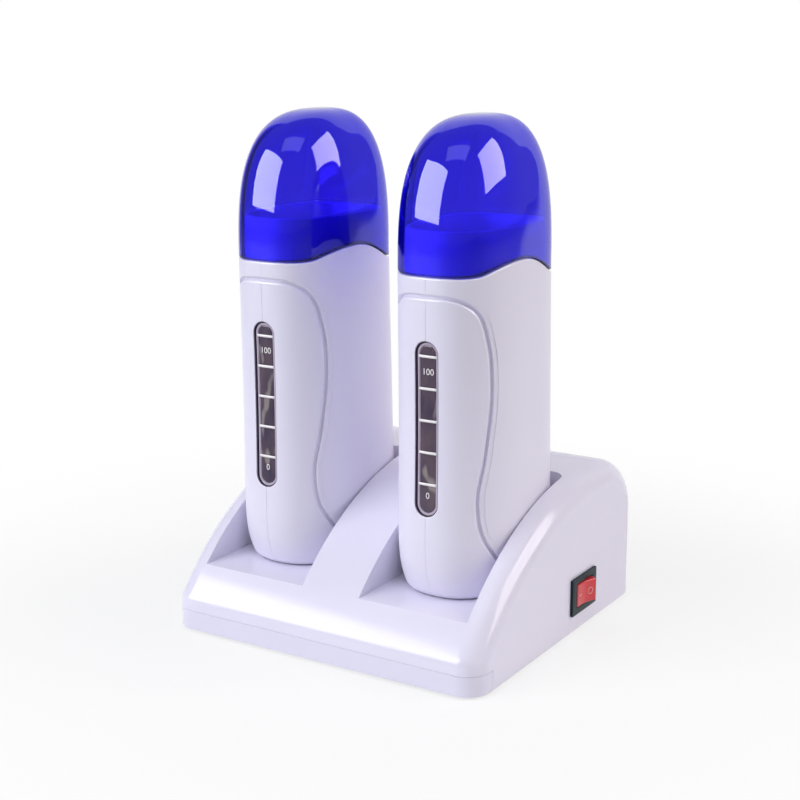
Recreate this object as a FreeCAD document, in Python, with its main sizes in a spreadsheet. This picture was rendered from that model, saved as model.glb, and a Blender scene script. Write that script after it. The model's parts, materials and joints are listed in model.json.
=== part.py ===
import FreeCAD, Part
import math
import os
import Sketcher

# A roll-on wax heater: a base with two pockets, and two handsets with lift-off caps.
# Frame: +Z up, +X to the right of someone facing the front, front face towards -Y.
# The pieces are modelled about the middle of the base, on the table, and exported about the
# middle of the whole object's box, which the switch and the inlet move a little.

SIZES = [
    # base
    ("base_width", 140.0, "outer width of the base"),
    ("base_depth", 136.0, "front face to back face"),
    ("base_height", 62.0, "table to the flat top behind the pockets"),
    ("foot_proud", 1.0, "how far the feet stand out under the base"),
    ("front_wall_top", 13.0, "foot of the base to the start of the ramp"),
    ("crest_back", 98.0, "front face to where the ramp turns flat"),
    ("back_round", 24.0, "radius between the top and the back"),
    ("shoulder_round", 9.5, "radius along both sides"),
    ("front_round", 6.0, "radius along the front edge of the ramp"),
    ("base_wall", 2.2, "wall of the top housing"),
    ("plate_thickness", 2.2, "bottom plate"),
    ("seam_height", 7.9, "foot of the base to the seam in the front wall"),
    ("seam_wrap", 12.0, "how far the plate's lip reaches round the front corners"),
    ("seam_gap", 0.15, "clearance between the lip and the housing"),
    # pockets
    ("pocket_floor", 25.5, "table to the pocket floor"),
    ("pocket_side_gap", 0.65, "between a handset and each pocket wall"),
    ("pocket_back_gap", 1.2, "between a handset and the pocket's back wall"),
    ("pocket_corner", 6.0, "radius of the pocket's rear corners"),
    ("tub_wall", 2.0, "wall and floor of a pocket"),
    ("handset_spacing", 73.0, "between the handsets' middles"),
    # housing posts and plate fittings
    ("post_radius", 3.6, "screw post"),
    ("front_post_back", 22.0, "front face to the front posts"),
    ("rear_post_inset", 12.0, "back face to the rear posts"),
    ("rear_post_side", 20.0, "middle to the rear posts"),
    ("base_screw_radius", 1.5, "shank"),
    ("base_screw_length", 9.0, "shank above the plate's counterbore"),
    ("base_screw_head", 2.9, "head radius"),
    ("base_screw_head_height", 1.0, "head height"),
    ("fit_gap", 0.05, "radial clearance of a screw or a fitted pin"),
    ("hole_gap", 0.3, "radial clearance of a through hole"),
    ("foot_radius", 6.0, "rubber foot"),
    ("foot_sunk", 1.1, "how deep a foot sits in the plate"),
    ("foot_inset", 14.0, "sides of the base to a foot's middle"),
    # contact pins and their holders
    ("pin_pitch", 16.0, "between the two pins of a pocket"),
    ("pin_back", 55.0, "front face to the pins"),
    ("pin_radius", 1.5, "contact pin"),
    ("pin_flange_radius", 2.4, "flange that the spring pushes on"),
    ("pin_flange_height", 1.0, "flange height"),
    ("pin_stem_radius", 0.8, "stem inside the spring"),
    ("pin_stem_length", 5.0, "stem below the flange"),
    ("pin_flange_drop", 1.4, "pocket floor's underside to the flange's underside"),
    ("pin_touch_gap", 0.1, "pin tip to the handset's contact"),
    ("holder_length", 28.0, "contact holder across"),
    ("holder_width", 12.0, "contact holder front to back"),
    ("holder_height", 12.0, "contact holder"),
    ("holder_floor", 2.0, "holder under a spring"),
    ("holder_bore", 2.9, "spring bore radius"),
    ("spring_radius", 2.0, "middle of the spring wire"),
    ("spring_wire", 0.25, "spring wire radius"),
    ("spring_turns", 6.0, "turns of a contact spring"),
    # rocker switch
    ("switch_back", 85.2, "front face to the switch's middle"),
    ("switch_height", 15.6, "table to the switch's middle"),
    ("bezel_length", 21.0, "bezel along the side of the base"),
    ("bezel_height", 15.0, "bezel, up and down"),
    ("bezel_proud", 1.2, "bezel out of the side"),
    ("switch_body_length", 19.2, "body in the cut-out"),
    ("switch_body_height", 12.9, "body in the cut-out, up and down"),
    ("switch_body_depth", 12.5, "side face to the back of the body"),
    ("switch_wall", 0.8, "body wall"),
    ("switch_floor", 1.2, "back of the body"),
    ("rocker_half_height", 5.35, "half the rocker, up and down"),
    ("rocker_reach", 8.6, "pivot to the rocker's round ends"),
    ("rocker_crown", 5.2, "pivot to the outer corners, outwards"),
    ("rocker_dip", 3.4, "pivot to the fold in the middle, outwards"),
    ("rocker_underside", 2.4, "pivot to the underside, inwards"),
    ("rocker_nose", 6.6, "pivot to the tip of the nose, inwards"),
    ("rocker_nose_half", 1.4, "half the nose's thickness"),
    ("rocker_pivot_depth", 2.0, "side face to the pivot"),
    ("rocker_tilt", 10.0, "degrees from level, front end in"),
    ("pivot_radius", 1.2, "rocker's pivot stubs"),
    ("pivot_length", 0.5, "stub in the switch wall"),
    ("bridge_half_length", 5.6, "contact bridge"),
    ("bridge_half_height", 2.2, "contact bridge, up and down"),
    ("bridge_thickness", 0.6, "contact bridge"),
    ("bridge_depth", 9.4, "side face to the bridge's middle"),
    ("bridge_tilt", 6.0, "degrees, opposite to the rocker"),
    ("terminal_pitch", 9.6, "between the two blades"),
    ("terminal_width", 4.8, "blade, up and down"),
    ("terminal_thickness", 0.8, "blade"),
    ("terminal_length", 7.0, "blade behind the body"),
    ("terminal_inside", 0.6, "blade inside the body"),
    # mains inlet
    ("inlet_side", 36.0, "middle of the base to the inlet, to the left"),
    ("inlet_height", 14.0, "table to the inlet's middle"),
    ("inlet_flange_width", 21.0, "flange"),
    ("inlet_flange_height", 13.0, "flange, up and down"),
    ("inlet_flange_proud", 1.6, "flange out of the back face"),
    ("inlet_body_width", 18.0, "body"),
    ("inlet_body_height", 10.4, "body, up and down"),
    ("inlet_body_depth", 16.0, "back face to the body's inner end"),
    ("inlet_lobe", 3.8, "radius of the figure-eight opening's lobes"),
    ("inlet_waist", 3.0, "half the height of the opening between its lobes"),
    ("inlet_floor", 2.5, "closed end of the body"),
    ("inlet_pin_pitch", 8.6, "between the pins"),
    ("inlet_pin_radius", 1.2, "pin"),
    ("inlet_pin_length", 9.0, "pin inside the opening"),
    ("inlet_tail", 4.0, "pin behind the body"),
    # terminal block and wires
    ("block_length", 26.0, "terminal block across"),
    ("block_width", 9.0, "terminal block front to back"),
    ("block_height", 9.0, "terminal block"),
    ("block_web", 3.0, "terminal block under its screw wells"),
    ("block_well", 1.8, "radius of a screw well"),
    ("block_back", 100.0, "front face to the block's middle"),
    ("wire_radius", 0.9, "insulated wire"),
    ("wire_bend", 4.0, "middle radius of a wire's bends"),
    ("wire_lane", 3.2, "between wires that run side by side"),
    ("wire_gap", 0.25, "between a wire's end and its terminal"),
    # handset form
    ("handset_setback", 19.6, "base's front face to the handset's front"),
    ("handset_seat_gap", 0.3, "pocket floor to the handset"),
    ("handset_half_width", 22.9, "half the handset's width"),
    ("nose_reach", 35.4, "widest line to the front"),
    ("back_reach_low", 33.3, "widest line to the back, at the foot"),
    ("back_reach_high", 28.5, "widest line to the back, at the shoulder"),
    ("nose_power", 2.4, "roundness of the front half"),
    ("back_power", 4.5, "roundness of the back half"),
    ("waist_depth", 0.7, "hollow in the front line"),
    ("waist_height", 71.0, "handset's foot to the waist"),
    ("heel_height", 26.0, "height of the rounded foot"),
    ("heel_setback", 6.0, "how far the front runs in at the foot"),
    ("heel_taper", 2.0, "how far the sides run in at the foot"),
    ("foot_edge", 2.2, "rounding of the foot's edge"),
    ("heel_power", 2.9, "roundness of the foot"),
    ("shoulder_height", 122.2, "handset's foot to the start of the dome"),
    ("handset_height", 178.2, "handset's foot to the top of the cap"),
    ("dome_power", 2.9, "roundness of the dome"),
    ("dome_shift", 6.0, "dome's middle behind the widest line"),
    ("shell_wall", 2.0, "handset shell"),
    ("cap_wall", 1.8, "cap"),
    ("cap_gap", 0.35, "between the shells' rim and the cap"),
    ("groove_width", 1.2, "groove round the front panel"),
    ("groove_depth", 0.6, "groove round the front panel"),
    # window
    ("window_half_width", 5.0, "half the window's width"),
    ("window_low", 33.1, "handset's foot to the window"),
    ("window_high", 99.4, "handset's foot to the top of the window"),
    ("window_recess", 0.5, "window below the shell's surface"),
    ("window_thickness", 1.5, "window"),
    ("window_gap", 0.1, "clearance round the window"),
    # heating well
    ("well_half_width", 17.0, "outside of the oval well"),
    ("well_half_length", 27.5, "outside of the oval well, front to back"),
    ("well_wall", 1.0, "well"),
    ("well_front_gap", 2.8, "handset's front to the well"),
    ("well_low", 12.2, "handset's foot to the well's floor"),
    ("well_slot", 4.0, "half the slot behind the window"),
    ("heater_pad_half", 11.0, "half the flat pad on the back of the well"),
    ("heater_pad_depth", 0.9, "pad behind the well"),
    ("heater_pad_low", 16.0, "handset's foot to the pad"),
    ("heater_pad_high", 76.0, "handset's foot to the top of the pad"),
    ("heater_half_width", 10.0, "half the heater"),
    ("heater_thickness", 2.4, "heater"),
    ("heater_low", 34.0, "handset's foot to the heater"),
    ("heater_high", 74.0, "handset's foot to the top of the heater"),
    ("clamp_thickness", 0.6, "spring steel clamp"),
    ("clamp_low", 46.0, "handset's foot to the clamp"),
    ("clamp_high", 62.0, "handset's foot to the top of the clamp"),
    ("clamp_leg", 5.0, "clamp's legs along the pad"),
    ("thermostat_radius", 5.0, "thermostat"),
    ("thermostat_thickness", 3.2, "thermostat"),
    ("thermostat_height", 24.0, "handset's foot to the thermostat"),
    ("pad_thickness", 1.1, "insulation"),
    ("pad_front", 11.0, "well's front to the insulation"),
    ("pad_back", 14.0, "well's back to the insulation"),
    ("pad_low", 30.0, "handset's foot to the insulation"),
    ("pad_high", 108.0, "handset's foot to the top of the insulation"),
    ("wire_level", 9.5, "handset's foot to the wires under the well"),
    ("part_gap", 0.15, "between pieces fitted face to face"),
    # neck collar
    ("collar_low", 114.2, "handset's foot to the collar"),
    ("collar_high", 139.0, "handset's foot to the top of the collar"),
    ("collar_gap", 0.35, "between the collar and the cap"),
    # handset foot and shell screws
    ("foot_plate_thickness", 2.0, "closing plate"),
    ("foot_plate_gap", 0.2, "clearance round the closing plate"),
    ("contact_radius", 3.6, "contact plate"),
    ("contact_thickness", 0.8, "contact plate"),
    ("contact_stem_radius", 1.0, "rivet of a contact plate"),
    ("contact_stem_length", 3.6, "rivet above the contact plate"),
    ("shell_screw_radius", 1.0, "shank"),
    ("shell_screw_head", 1.9, "head radius"),
    ("shell_screw_head_height", 1.3, "head height"),
    ("shell_screw_length", 13.0, "shank"),
    ("shell_screw_seat", 7.0, "middle to the head's seat"),
    ("shell_post_radius", 2.5, "screw post"),
    ("low_screw_height", 4.6, "handset's foot to the two lower screws"),
    ("low_screw_front", 17.0, "widest line to the front screw"),
    ("low_screw_rear", 19.0, "widest line to the rear screw"),
    ("high_screw_height", 104.0, "handset's foot to the upper screw"),
    ("high_screw_rear", 25.3, "widest line to the upper screw"),
]

# The groove round the front panel of a handset, from the front centre line down to the foot:
# distance behind the widest line, height above the handset's foot.
GROOVE_LINE = [(-40.0, 116.2), (-31.0, 115.6), (-26.0, 110.6), (-22.0, 100.0), (-20.0, 86.0),
               (-21.5, 70.0), (-26.0, 53.0), (-27.0, 40.0), (-25.0, 29.0), (-17.5, 17.0), (0.0, 3.0)]

# The line where a cap meets the shells: distance behind the widest line, height above the shoulder.
CAP_LINE = [(-44.0, 0.5), (-37.0, 0.3), (-31.0, 0.0), (-26.0, 0.5), (-21.5, 1.9), (-16.0, 3.3),
            (-10.0, 4.2), (-4.0, 4.5), (2.0, 4.0), (8.0, 2.4), (14.0, -0.2), (19.0, -2.5), (25.0, -3.7),
            (32.0, -4.0), (40.0, -3.7)]

OUTLINE_STEPS = 32      # points round one outline of a handset
DOME_STEPS = 6          # outlines between the shoulder and the top of the dome
DOME_END = 86.0         # degrees: the last outline, where 90 would be a point
BLOCK_SCREWS = 4        # screws of the terminal block
SIDES = (("left", -1.0), ("right", 1.0))
OVERCUT = 1.0           # how far a cutting shape runs past the face that it cuts
FAR = 200.0             # longer than any handset, for shapes that keep one side of it

doc = FreeCAD.newDocument("RollOnWaxHeater")
sheet = doc.addObject("Spreadsheet::Sheet", "Dims")
for row, (alias, value, meaning) in enumerate(SIZES, start=1):
    sheet.set(f"A{row}", alias)
    sheet.set(f"B{row}", str(value))
    sheet.set(f"C{row}", meaning)
    sheet.setAlias(f"B{row}", alias)
doc.recompute()


class Size:
    """A length together with the spreadsheet expression that gives it."""

    def __init__(self, value, text):
        self.value = value
        self.text = text

    def __add__(self, other):
        other = sized(other)
        return Size(self.value + other.value, f"({self.text} + {other.text})")

    def __sub__(self, other):
        other = sized(other)
        return Size(self.value - other.value, f"({self.text} - {other.text})")

    def __mul__(self, other):
        other = sized(other)
        return Size(self.value * other.value, f"({self.text} * {other.text})")

    def __truediv__(self, other):
        other = sized(other)
        return Size(self.value / other.value, f"({self.text} / {other.text})")

    def __neg__(self):
        return Size(-self.value, f"(0 - {self.text})")

    def __radd__(self, other):
        return sized(other) + self

    def __rsub__(self, other):
        return sized(other) - self

    def __rmul__(self, other):
        return sized(other) * self

    def __float__(self):
        return float(self.value)


def sized(number):
    """Turn a plain number into a Size, and leave a Size as it is."""
    if isinstance(number, Size):
        return number
    return Size(float(number), f"({float(number)})")


class Dimensions:
    """The spreadsheet's cells as attributes, each a Size."""

    def __init__(self):
        for alias, value, meaning in SIZES:
            setattr(self, alias, Size(float(sheet.get(alias)), f"Dims.{alias}"))


d = Dimensions()

# Places that several pieces share
front = -d.base_depth / 2
back = d.base_depth / 2
side = d.base_width / 2
floor_under = d.pocket_floor - d.tub_wall
plate_top = d.foot_proud + d.plate_thickness
seam = d.foot_proud + d.seam_height
foot = d.pocket_floor + d.handset_seat_gap
handset_front = front + d.handset_setback
widest = handset_front + d.nose_reach
pocket_half = d.handset_half_width + d.pocket_side_gap
pocket_back = widest + d.back_reach_low + d.pocket_back_gap
pin_y = front + d.pin_back
switch_y = front + d.switch_back
pivot_x = side - d.rocker_pivot_depth
well_front = handset_front + d.well_front_gap
well_y = well_front + d.well_half_length
well_back = well_y + d.well_half_length
pad_face = well_back + d.heater_pad_depth

NODES = []


# ---------------------------------------------------------------- helpers

def bind(obj, **links):
    """Bind properties to sizes; a double underscore in a name stands for a dot."""
    for name, size in links.items():
        obj.setExpression(name.replace("__", "."), sized(size).text)


def place(obj, x=0.0, y=0.0, z=0.0, rotation=None):
    """Give an object its Placement, bound to sizes."""
    turn = rotation or FreeCAD.Rotation()
    obj.Placement = FreeCAD.Placement(FreeCAD.Vector(float(x), float(y), float(z)), turn)
    bind(obj, Placement__Base__x=x, Placement__Base__y=y, Placement__Base__z=z)
    return obj


def add(kind, name):
    """Add an object whose Label is its name."""
    obj = doc.addObject(kind, name)
    obj.Label = name
    return obj


def box(name, x, y, z):
    """A box between two limits along each axis."""
    obj = add("Part::Box", name)
    bind(obj, Length=sized(x[1]) - x[0], Width=sized(y[1]) - y[0], Height=sized(z[1]) - z[0])
    return place(obj, x[0], y[0], z[0])


TURNS = {
    "x": FreeCAD.Rotation(FreeCAD.Vector(0, 1, 0), 90),
    "y": FreeCAD.Rotation(FreeCAD.Vector(1, 0, 0), -90),
    "z": FreeCAD.Rotation(),
}


def rod(name, axis, start, radius, length):
    """A cylinder from a start point along the positive x, y or z axis."""
    obj = add("Part::Cylinder", name)
    bind(obj, Radius=radius, Height=length)
    return place(obj, *start, rotation=TURNS[axis])


def fuse(name, parts):
    """One solid from several."""
    obj = add("Part::MultiFuse", name)
    obj.Shapes = parts
    obj.Refine = True
    return obj


def group(name, parts):
    """Separate solids that share one node."""
    obj = add("Part::Compound", name)
    obj.Links = parts
    return obj


def cut(name, base, tools):
    """A solid with one or more others taken away."""
    obj = add("Part::Cut", name)
    obj.Base = base
    obj.Tool = tools[0] if len(tools) == 1 else fuse(name + "_tools", tools)
    return obj


def common(name, parts):
    """What several solids share."""
    obj = add("Part::MultiCommon", name)
    obj.Shapes = parts
    return obj


def feature(name, shape):
    """A freeform solid made with Part's own functions."""
    obj = add("Part::Feature", name)
    obj.Shape = shape
    return obj


def node(obj):
    """Mark a finished sub-part for export."""
    NODES.append(obj)
    return obj


def point(x, y, z):
    return FreeCAD.Vector(float(x), float(y), float(z))


def oval(name, half_width, half_length, y, z):
    """An upright prism with straight sides and semicircular front and back ends."""
    straight = half_length - half_width
    middle = box(name + "_middle", (-half_width, half_width), (y - straight, y + straight), z)
    height = sized(z[1]) - z[0]
    ends = [rod(f"{name}_{end}_end", "z", (0.0, y + straight * sign, z[0]), half_width, height)
            for end, sign in (("front", -1.0), ("rear", 1.0))]
    return fuse(name, [middle] + ends)


TRIM_SHARE = 0.45       # of a straight run, the most that the arc at one end may take


def wire_solid(points):
    """A round wire along straight runs joined by tangent arcs."""
    if len(points) == 2:
        run = points[1] - points[0]
        return Part.makeCylinder(float(d.wire_radius), run.Length, points[0], run)
    edges = []
    start = points[0]
    for before, corner, after in zip(points, points[1:], points[2:]):
        run_in = (corner - before).normalize()
        run_out = (after - corner).normalize()
        turn = run_in.getAngle(run_out)
        shorter = min((corner - before).Length, (after - corner).Length)
        trim = min(TRIM_SHARE * shorter, float(d.wire_bend) * math.tan(turn / 2))
        bend = trim / math.tan(turn / 2)
        entry = corner - run_in * trim
        leave = corner + run_out * trim
        inward = (run_out - run_in).normalize()
        centre = corner + inward * (bend / math.cos(turn / 2))
        middle = centre - inward * bend
        edges.append(Part.LineSegment(start, entry).toShape())
        edges.append(Part.Arc(entry, middle, leave).toShape())
        start = leave
    edges.append(Part.LineSegment(start, points[-1]).toShape())
    path = Part.Wire(edges)
    direction = points[1] - points[0]
    ring = Part.Wire(Part.Circle(points[0], direction, float(d.wire_radius)).toShape())
    return path.makePipeShell([ring], True, True)


# ---------------------------------------------------------------- base: common form

def base_profile(body, shrink):
    """The side view of the base: upright front, one long arc to the crest, round back."""
    plane = [o for o in body.Origin.OriginFeatures if o.Role == "YZ_Plane"][0]
    sketch = body.newObject("Sketcher::SketchObject", body.Name + "_profile")
    sketch.AttachmentSupport = [(plane, "")]
    sketch.MapMode = "FlatFace"
    low = d.foot_proud
    y0 = front + shrink
    y1 = back - shrink
    top = d.base_height - shrink
    knee = d.foot_proud + d.front_wall_top - shrink
    crest = front + d.crest_back
    bend = d.back_round - shrink
    rise = float(top - knee)
    run = float(crest - y0)
    ramp_radius = (run * run + rise * rise) / (2 * rise)
    ramp_centre = point(crest, float(top) - ramp_radius, 0)
    start_angle = math.atan2(float(knee) - ramp_centre.y, float(y0) - ramp_centre.x)
    up = FreeCAD.Vector(0, 0, 1)
    ramp = Part.ArcOfCircle(Part.Circle(ramp_centre, up, ramp_radius), math.pi / 2, start_angle)
    corner_centre = point(y1 - bend, top - bend, 0)
    corner = Part.ArcOfCircle(Part.Circle(corner_centre, up, float(bend)), 0, math.pi / 2)
    lines = [
        Part.LineSegment(point(y0, low, 0), point(y0, knee, 0)),
        ramp,
        Part.LineSegment(point(crest, top, 0), point(y1 - bend, top, 0)),
        corner,
        Part.LineSegment(point(y1, top - bend, 0), point(y1, low, 0)),
        Part.LineSegment(point(y1, low, 0), point(y0, low, 0)),
    ]
    sketch.addGeometry(lines, False)
    wall, arc, flat, round_back, rear, ground = range(6)
    rules = [
        Sketcher.Constraint("Coincident", wall, 2, arc, 2),
        Sketcher.Constraint("Tangent", arc, 1, flat, 1),
        Sketcher.Constraint("Tangent", flat, 2, round_back, 2),
        Sketcher.Constraint("Tangent", round_back, 1, rear, 1),
        Sketcher.Constraint("Coincident", rear, 2, ground, 1),
        Sketcher.Constraint("Coincident", ground, 2, wall, 1),
        Sketcher.Constraint("Vertical", wall),
        Sketcher.Constraint("Horizontal", flat),
        Sketcher.Constraint("Vertical", rear),
        Sketcher.Constraint("Horizontal", ground),
    ]
    sketch.addConstraint(rules)
    driving = [
        ("DistanceX", (-1, 1, wall, 1), y0),
        ("DistanceY", (-1, 1, wall, 1), low),
        ("DistanceY", (-1, 1, wall, 2), knee),
        ("DistanceX", (-1, 1, flat, 1), crest),
        ("DistanceY", (-1, 1, flat, 1), top),
        ("Radius", (round_back,), bend),
        ("DistanceX", (-1, 1, rear, 2), y1),
    ]
    for kind, places, size in driving:
        index = sketch.addConstraint(Sketcher.Constraint(kind, *places, float(size)))
        bind(sketch, **{f"Constraints[{index}]": size})
    return sketch


def edges_where(shape, test):
    """Names of the edges whose two ends pass a test."""
    return [f"Edge{number}" for number, edge in enumerate(shape.Edges, start=1)
            if len(edge.Vertexes) == 2 and test(edge)]


def base_form(name, shrink):
    """The outer form of the base, or the same form drawn in by a wall."""
    body = add("PartDesign::Body", name)
    sketch = base_profile(body, shrink)
    pad = body.newObject("PartDesign::Pad", name + "_pad")
    pad.Profile = sketch
    pad.Midplane = True
    bind(pad, Length=d.base_width - sized(shrink) * 2)
    doc.recompute()
    knee = float(d.foot_proud + d.front_wall_top - shrink)
    reach = float(side - shrink)
    low = float(d.foot_proud)

    def along_the_front(edge):
        return all(abs(v.Z - knee) < 1e-6 and v.Y < 0 for v in edge.Vertexes)

    def along_a_side(edge):
        on_side = all(abs(abs(v.X) - reach) < 1e-6 for v in edge.Vertexes)
        same_side = abs(edge.Vertexes[0].X - edge.Vertexes[1].X) < 1e-6
        on_ground = all(abs(v.Z - low) < 1e-6 for v in edge.Vertexes)
        return on_side and same_side and not on_ground

    nose = body.newObject("PartDesign::Fillet", name + "_front_edge")
    nose.Base = (pad, edges_where(pad.Shape, along_the_front))
    bind(nose, Radius=d.front_round - shrink)
    doc.recompute()
    shoulders = body.newObject("PartDesign::Fillet", name + "_shoulders")
    shoulders.Base = (nose, edges_where(nose.Shape, along_a_side))
    bind(shoulders, Radius=d.shoulder_round - shrink)
    doc.recompute()
    body.Tip = shoulders
    return body


def pocket_prism(name, centre, half_width, y_back, z_low, corner):
    """The space of a pocket, open at the front and top, with round rear corners."""
    y_front = front - OVERCUT
    high = d.base_height + OVERCUT
    inner = half_width - corner
    wide = box(name + "_wide", (centre - half_width, centre + half_width), (y_front, y_back - corner),
               (z_low, high))
    rear = box(name + "_rear", (centre - inner, centre + inner), (y_front, y_back), (z_low, high))
    corners = [rod(f"{name}_{end}_corner", "z", (centre + inner * sign, y_back - corner, z_low), corner,
                   high - z_low) for end, sign in SIDES]
    return fuse(name, [wide, rear] + corners)


def post_places():
    """Where the four screws go through the plate, and how high each post may reach."""
    places = []
    for name, sign in SIDES:
        places.append((f"{name}_front", d.handset_spacing * sign / 2, front + d.front_post_back,
                       d.pocket_floor))
        places.append((f"{name}_rear", d.rear_post_side * sign, back - d.rear_post_inset, d.base_height))
    return places


def base_top_housing():
    outer = base_form("base_outer", 0.0)
    cavity = base_form("base_cavity", d.base_wall)
    tubs = [pocket_prism(f"{name}_tub", d.handset_spacing * sign / 2, pocket_half + d.tub_wall,
                         pocket_back + d.tub_wall, floor_under, d.pocket_corner + d.tub_wall)
            for name, sign in SIDES]
    hollow = cut("base_hollow", cavity, tubs)
    pockets = [pocket_prism(f"{name}_pocket", d.handset_spacing * sign / 2, pocket_half, pocket_back,
                            d.pocket_floor, d.pocket_corner) for name, sign in SIDES]
    shell = cut("base_shell", outer, [hollow])
    open_shell = cut("base_open_shell", shell, pockets)
    posts = []
    pilots = []
    for name, x, y, top in post_places():
        posts.append(rod(f"{name}_post", "z", (x, y, plate_top), d.post_radius, top - plate_top))
        pilots.append(rod(f"{name}_pilot", "z", (x, y, plate_top - OVERCUT),
                          d.base_screw_radius + d.fit_gap, d.base_screw_length + OVERCUT * 2))
    inner_posts = common("base_posts", [outer, fuse("base_tall_posts", posts)])
    with_posts = fuse("base_with_posts", [open_shell, inner_posts])
    lip_y = front + d.seam_wrap
    lip_room = box("lip_room", (-side - OVERCUT, side + OVERCUT), (front - OVERCUT, lip_y), (0.0, seam))
    body_half = d.switch_body_length / 2 + d.part_gap
    body_tall = d.switch_body_height / 2 + d.part_gap
    switch_hole = box("switch_hole", (side - d.base_wall * 2, side + OVERCUT),
                      (switch_y - body_half, switch_y + body_half),
                      (d.switch_height - body_tall, d.switch_height + body_tall))
    inlet_half = d.inlet_body_width / 2 + d.part_gap
    inlet_tall = d.inlet_body_height / 2 + d.part_gap
    inlet_hole = box("inlet_hole", (-d.inlet_side - inlet_half, -d.inlet_side + inlet_half),
                     (back - d.base_wall * 2, back + OVERCUT),
                     (d.inlet_height - inlet_tall, d.inlet_height + inlet_tall))
    pin_holes = [rod(f"{name}_pin_hole", "z", (x, pin_y, floor_under - OVERCUT),
                     d.pin_radius + d.hole_gap, d.tub_wall + OVERCUT * 2) for name, x in pin_places()]
    return node(cut("base_top_housing", with_posts,
                    pilots + [lip_room, switch_hole, inlet_hole] + pin_holes))


def base_bottom_plate():
    outer = doc.getObject("base_outer")
    cavity = doc.getObject("base_cavity")
    lip_y = front + d.seam_wrap
    slab = box("plate_slab", (-side, side), (front, back), (d.foot_proud, plate_top))
    inside = common("plate_inside", [cavity, slab])
    lip_box = box("lip_box", (-side, side), (front, lip_y - d.seam_gap), (d.foot_proud, seam - d.seam_gap))
    lip_block = common("lip_block", [outer, lip_box])
    lip_floor = box("lip_floor", (-side, side), (front, lip_y), (plate_top, seam))
    lip_hollow = common("lip_hollow", [cavity, lip_floor])
    lip = cut("plate_lip", lip_block, [lip_hollow])
    plate = fuse("plate_blank", [inside, lip])
    holes = []
    for name, x, y, top in post_places():
        holes.append(rod(f"{name}_plate_hole", "z", (x, y, 0.0), d.base_screw_radius + d.hole_gap,
                         plate_top + OVERCUT))
        holes.append(rod(f"{name}_counterbore", "z", (x, y, 0.0), d.base_screw_head + d.part_gap,
                         d.foot_proud + d.base_screw_head_height + d.part_gap))
    for name, x, y in foot_places():
        holes.append(rod(f"{name}_foot_recess", "z", (x, y, 0.0), d.foot_radius + d.part_gap,
                         d.foot_proud + d.foot_sunk))
    return node(cut("base_bottom_plate", plate, holes))


def foot_places():
    reach_x = side - d.foot_inset
    reach_y = back - d.foot_inset
    return [(f"{name}_{end}", reach_x * sign, reach_y * way)
            for name, sign in SIDES for end, way in (("front", -1.0), ("rear", 1.0))]


def base_feet():
    feet = [rod(f"{name}_foot", "z", (x, y, 0.0), d.foot_radius, d.foot_proud + d.foot_sunk)
            for name, x, y in foot_places()]
    return node(group("base_feet", feet))


def base_screws():
    screws = []
    for name, x, y, top in post_places():
        head = rod(f"{name}_screw_head", "z", (x, y, d.foot_proud), d.base_screw_head,
                   d.base_screw_head_height)
        shank = rod(f"{name}_screw_shank", "z", (x, y, d.foot_proud), d.base_screw_radius,
                    d.base_screw_head_height + d.base_screw_length)
        screws.append(fuse(f"{name}_screw", [head, shank]))
    return node(group("base_screws", screws))


# ---------------------------------------------------------------- base: contact pins

def pin_places():
    return [(f"{name}_{end}", d.handset_spacing * sign / 2 + d.pin_pitch * way / 2)
            for name, sign in SIDES for end, way in (("outer", sign), ("inner", -sign))]


def contact_holders():
    bore_low = floor_under - d.holder_height + d.holder_floor
    for name, sign in SIDES:
        centre = d.handset_spacing * sign / 2
        half = d.holder_length / 2
        block = box(f"{name}_holder_block", (centre - half, centre + half),
                    (pin_y - d.holder_width / 2, pin_y + d.holder_width / 2),
                    (floor_under - d.holder_height, floor_under))
        bores = [rod(f"{name}_{end}_bore", "z", (centre + d.pin_pitch * way / 2, pin_y, bore_low),
                     d.holder_bore, d.holder_height) for end, way in SIDES]
        node(cut(f"{name}_contact_holder", block, bores))


def contact_pins():
    flange_low = floor_under - d.pin_flange_drop
    tip = foot - d.pin_touch_gap
    spring_low = floor_under - d.holder_height + d.holder_floor
    for name, x in pin_places():
        shank = rod(f"{name}_pin_shank", "z", (x, pin_y, flange_low), d.pin_radius, tip - flange_low)
        flange = rod(f"{name}_pin_flange", "z", (x, pin_y, flange_low), d.pin_flange_radius,
                     d.pin_flange_height)
        stem = rod(f"{name}_pin_stem", "z", (x, pin_y, flange_low - d.pin_stem_length), d.pin_stem_radius,
                   d.pin_stem_length)
        node(fuse(f"{name}_contact_pin", [shank, flange, stem]))
        wire = float(d.spring_wire)
        bottom = float(spring_low) + wire
        height = float(flange_low) - bottom - wire
        turns = float(d.spring_turns)
        helix = Part.makeHelix(height / turns, height, float(d.spring_radius))
        ring = Part.Wire(Part.Circle(point(d.spring_radius, 0, 0), point(0, 1, 0), wire).toShape())
        coil = Part.Wire(helix).makePipeShell([ring], True, True)
        spring = feature(f"{name}_contact_spring", coil)
        node(place(spring, x, pin_y, bottom))


# ---------------------------------------------------------------- base: switch

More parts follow.
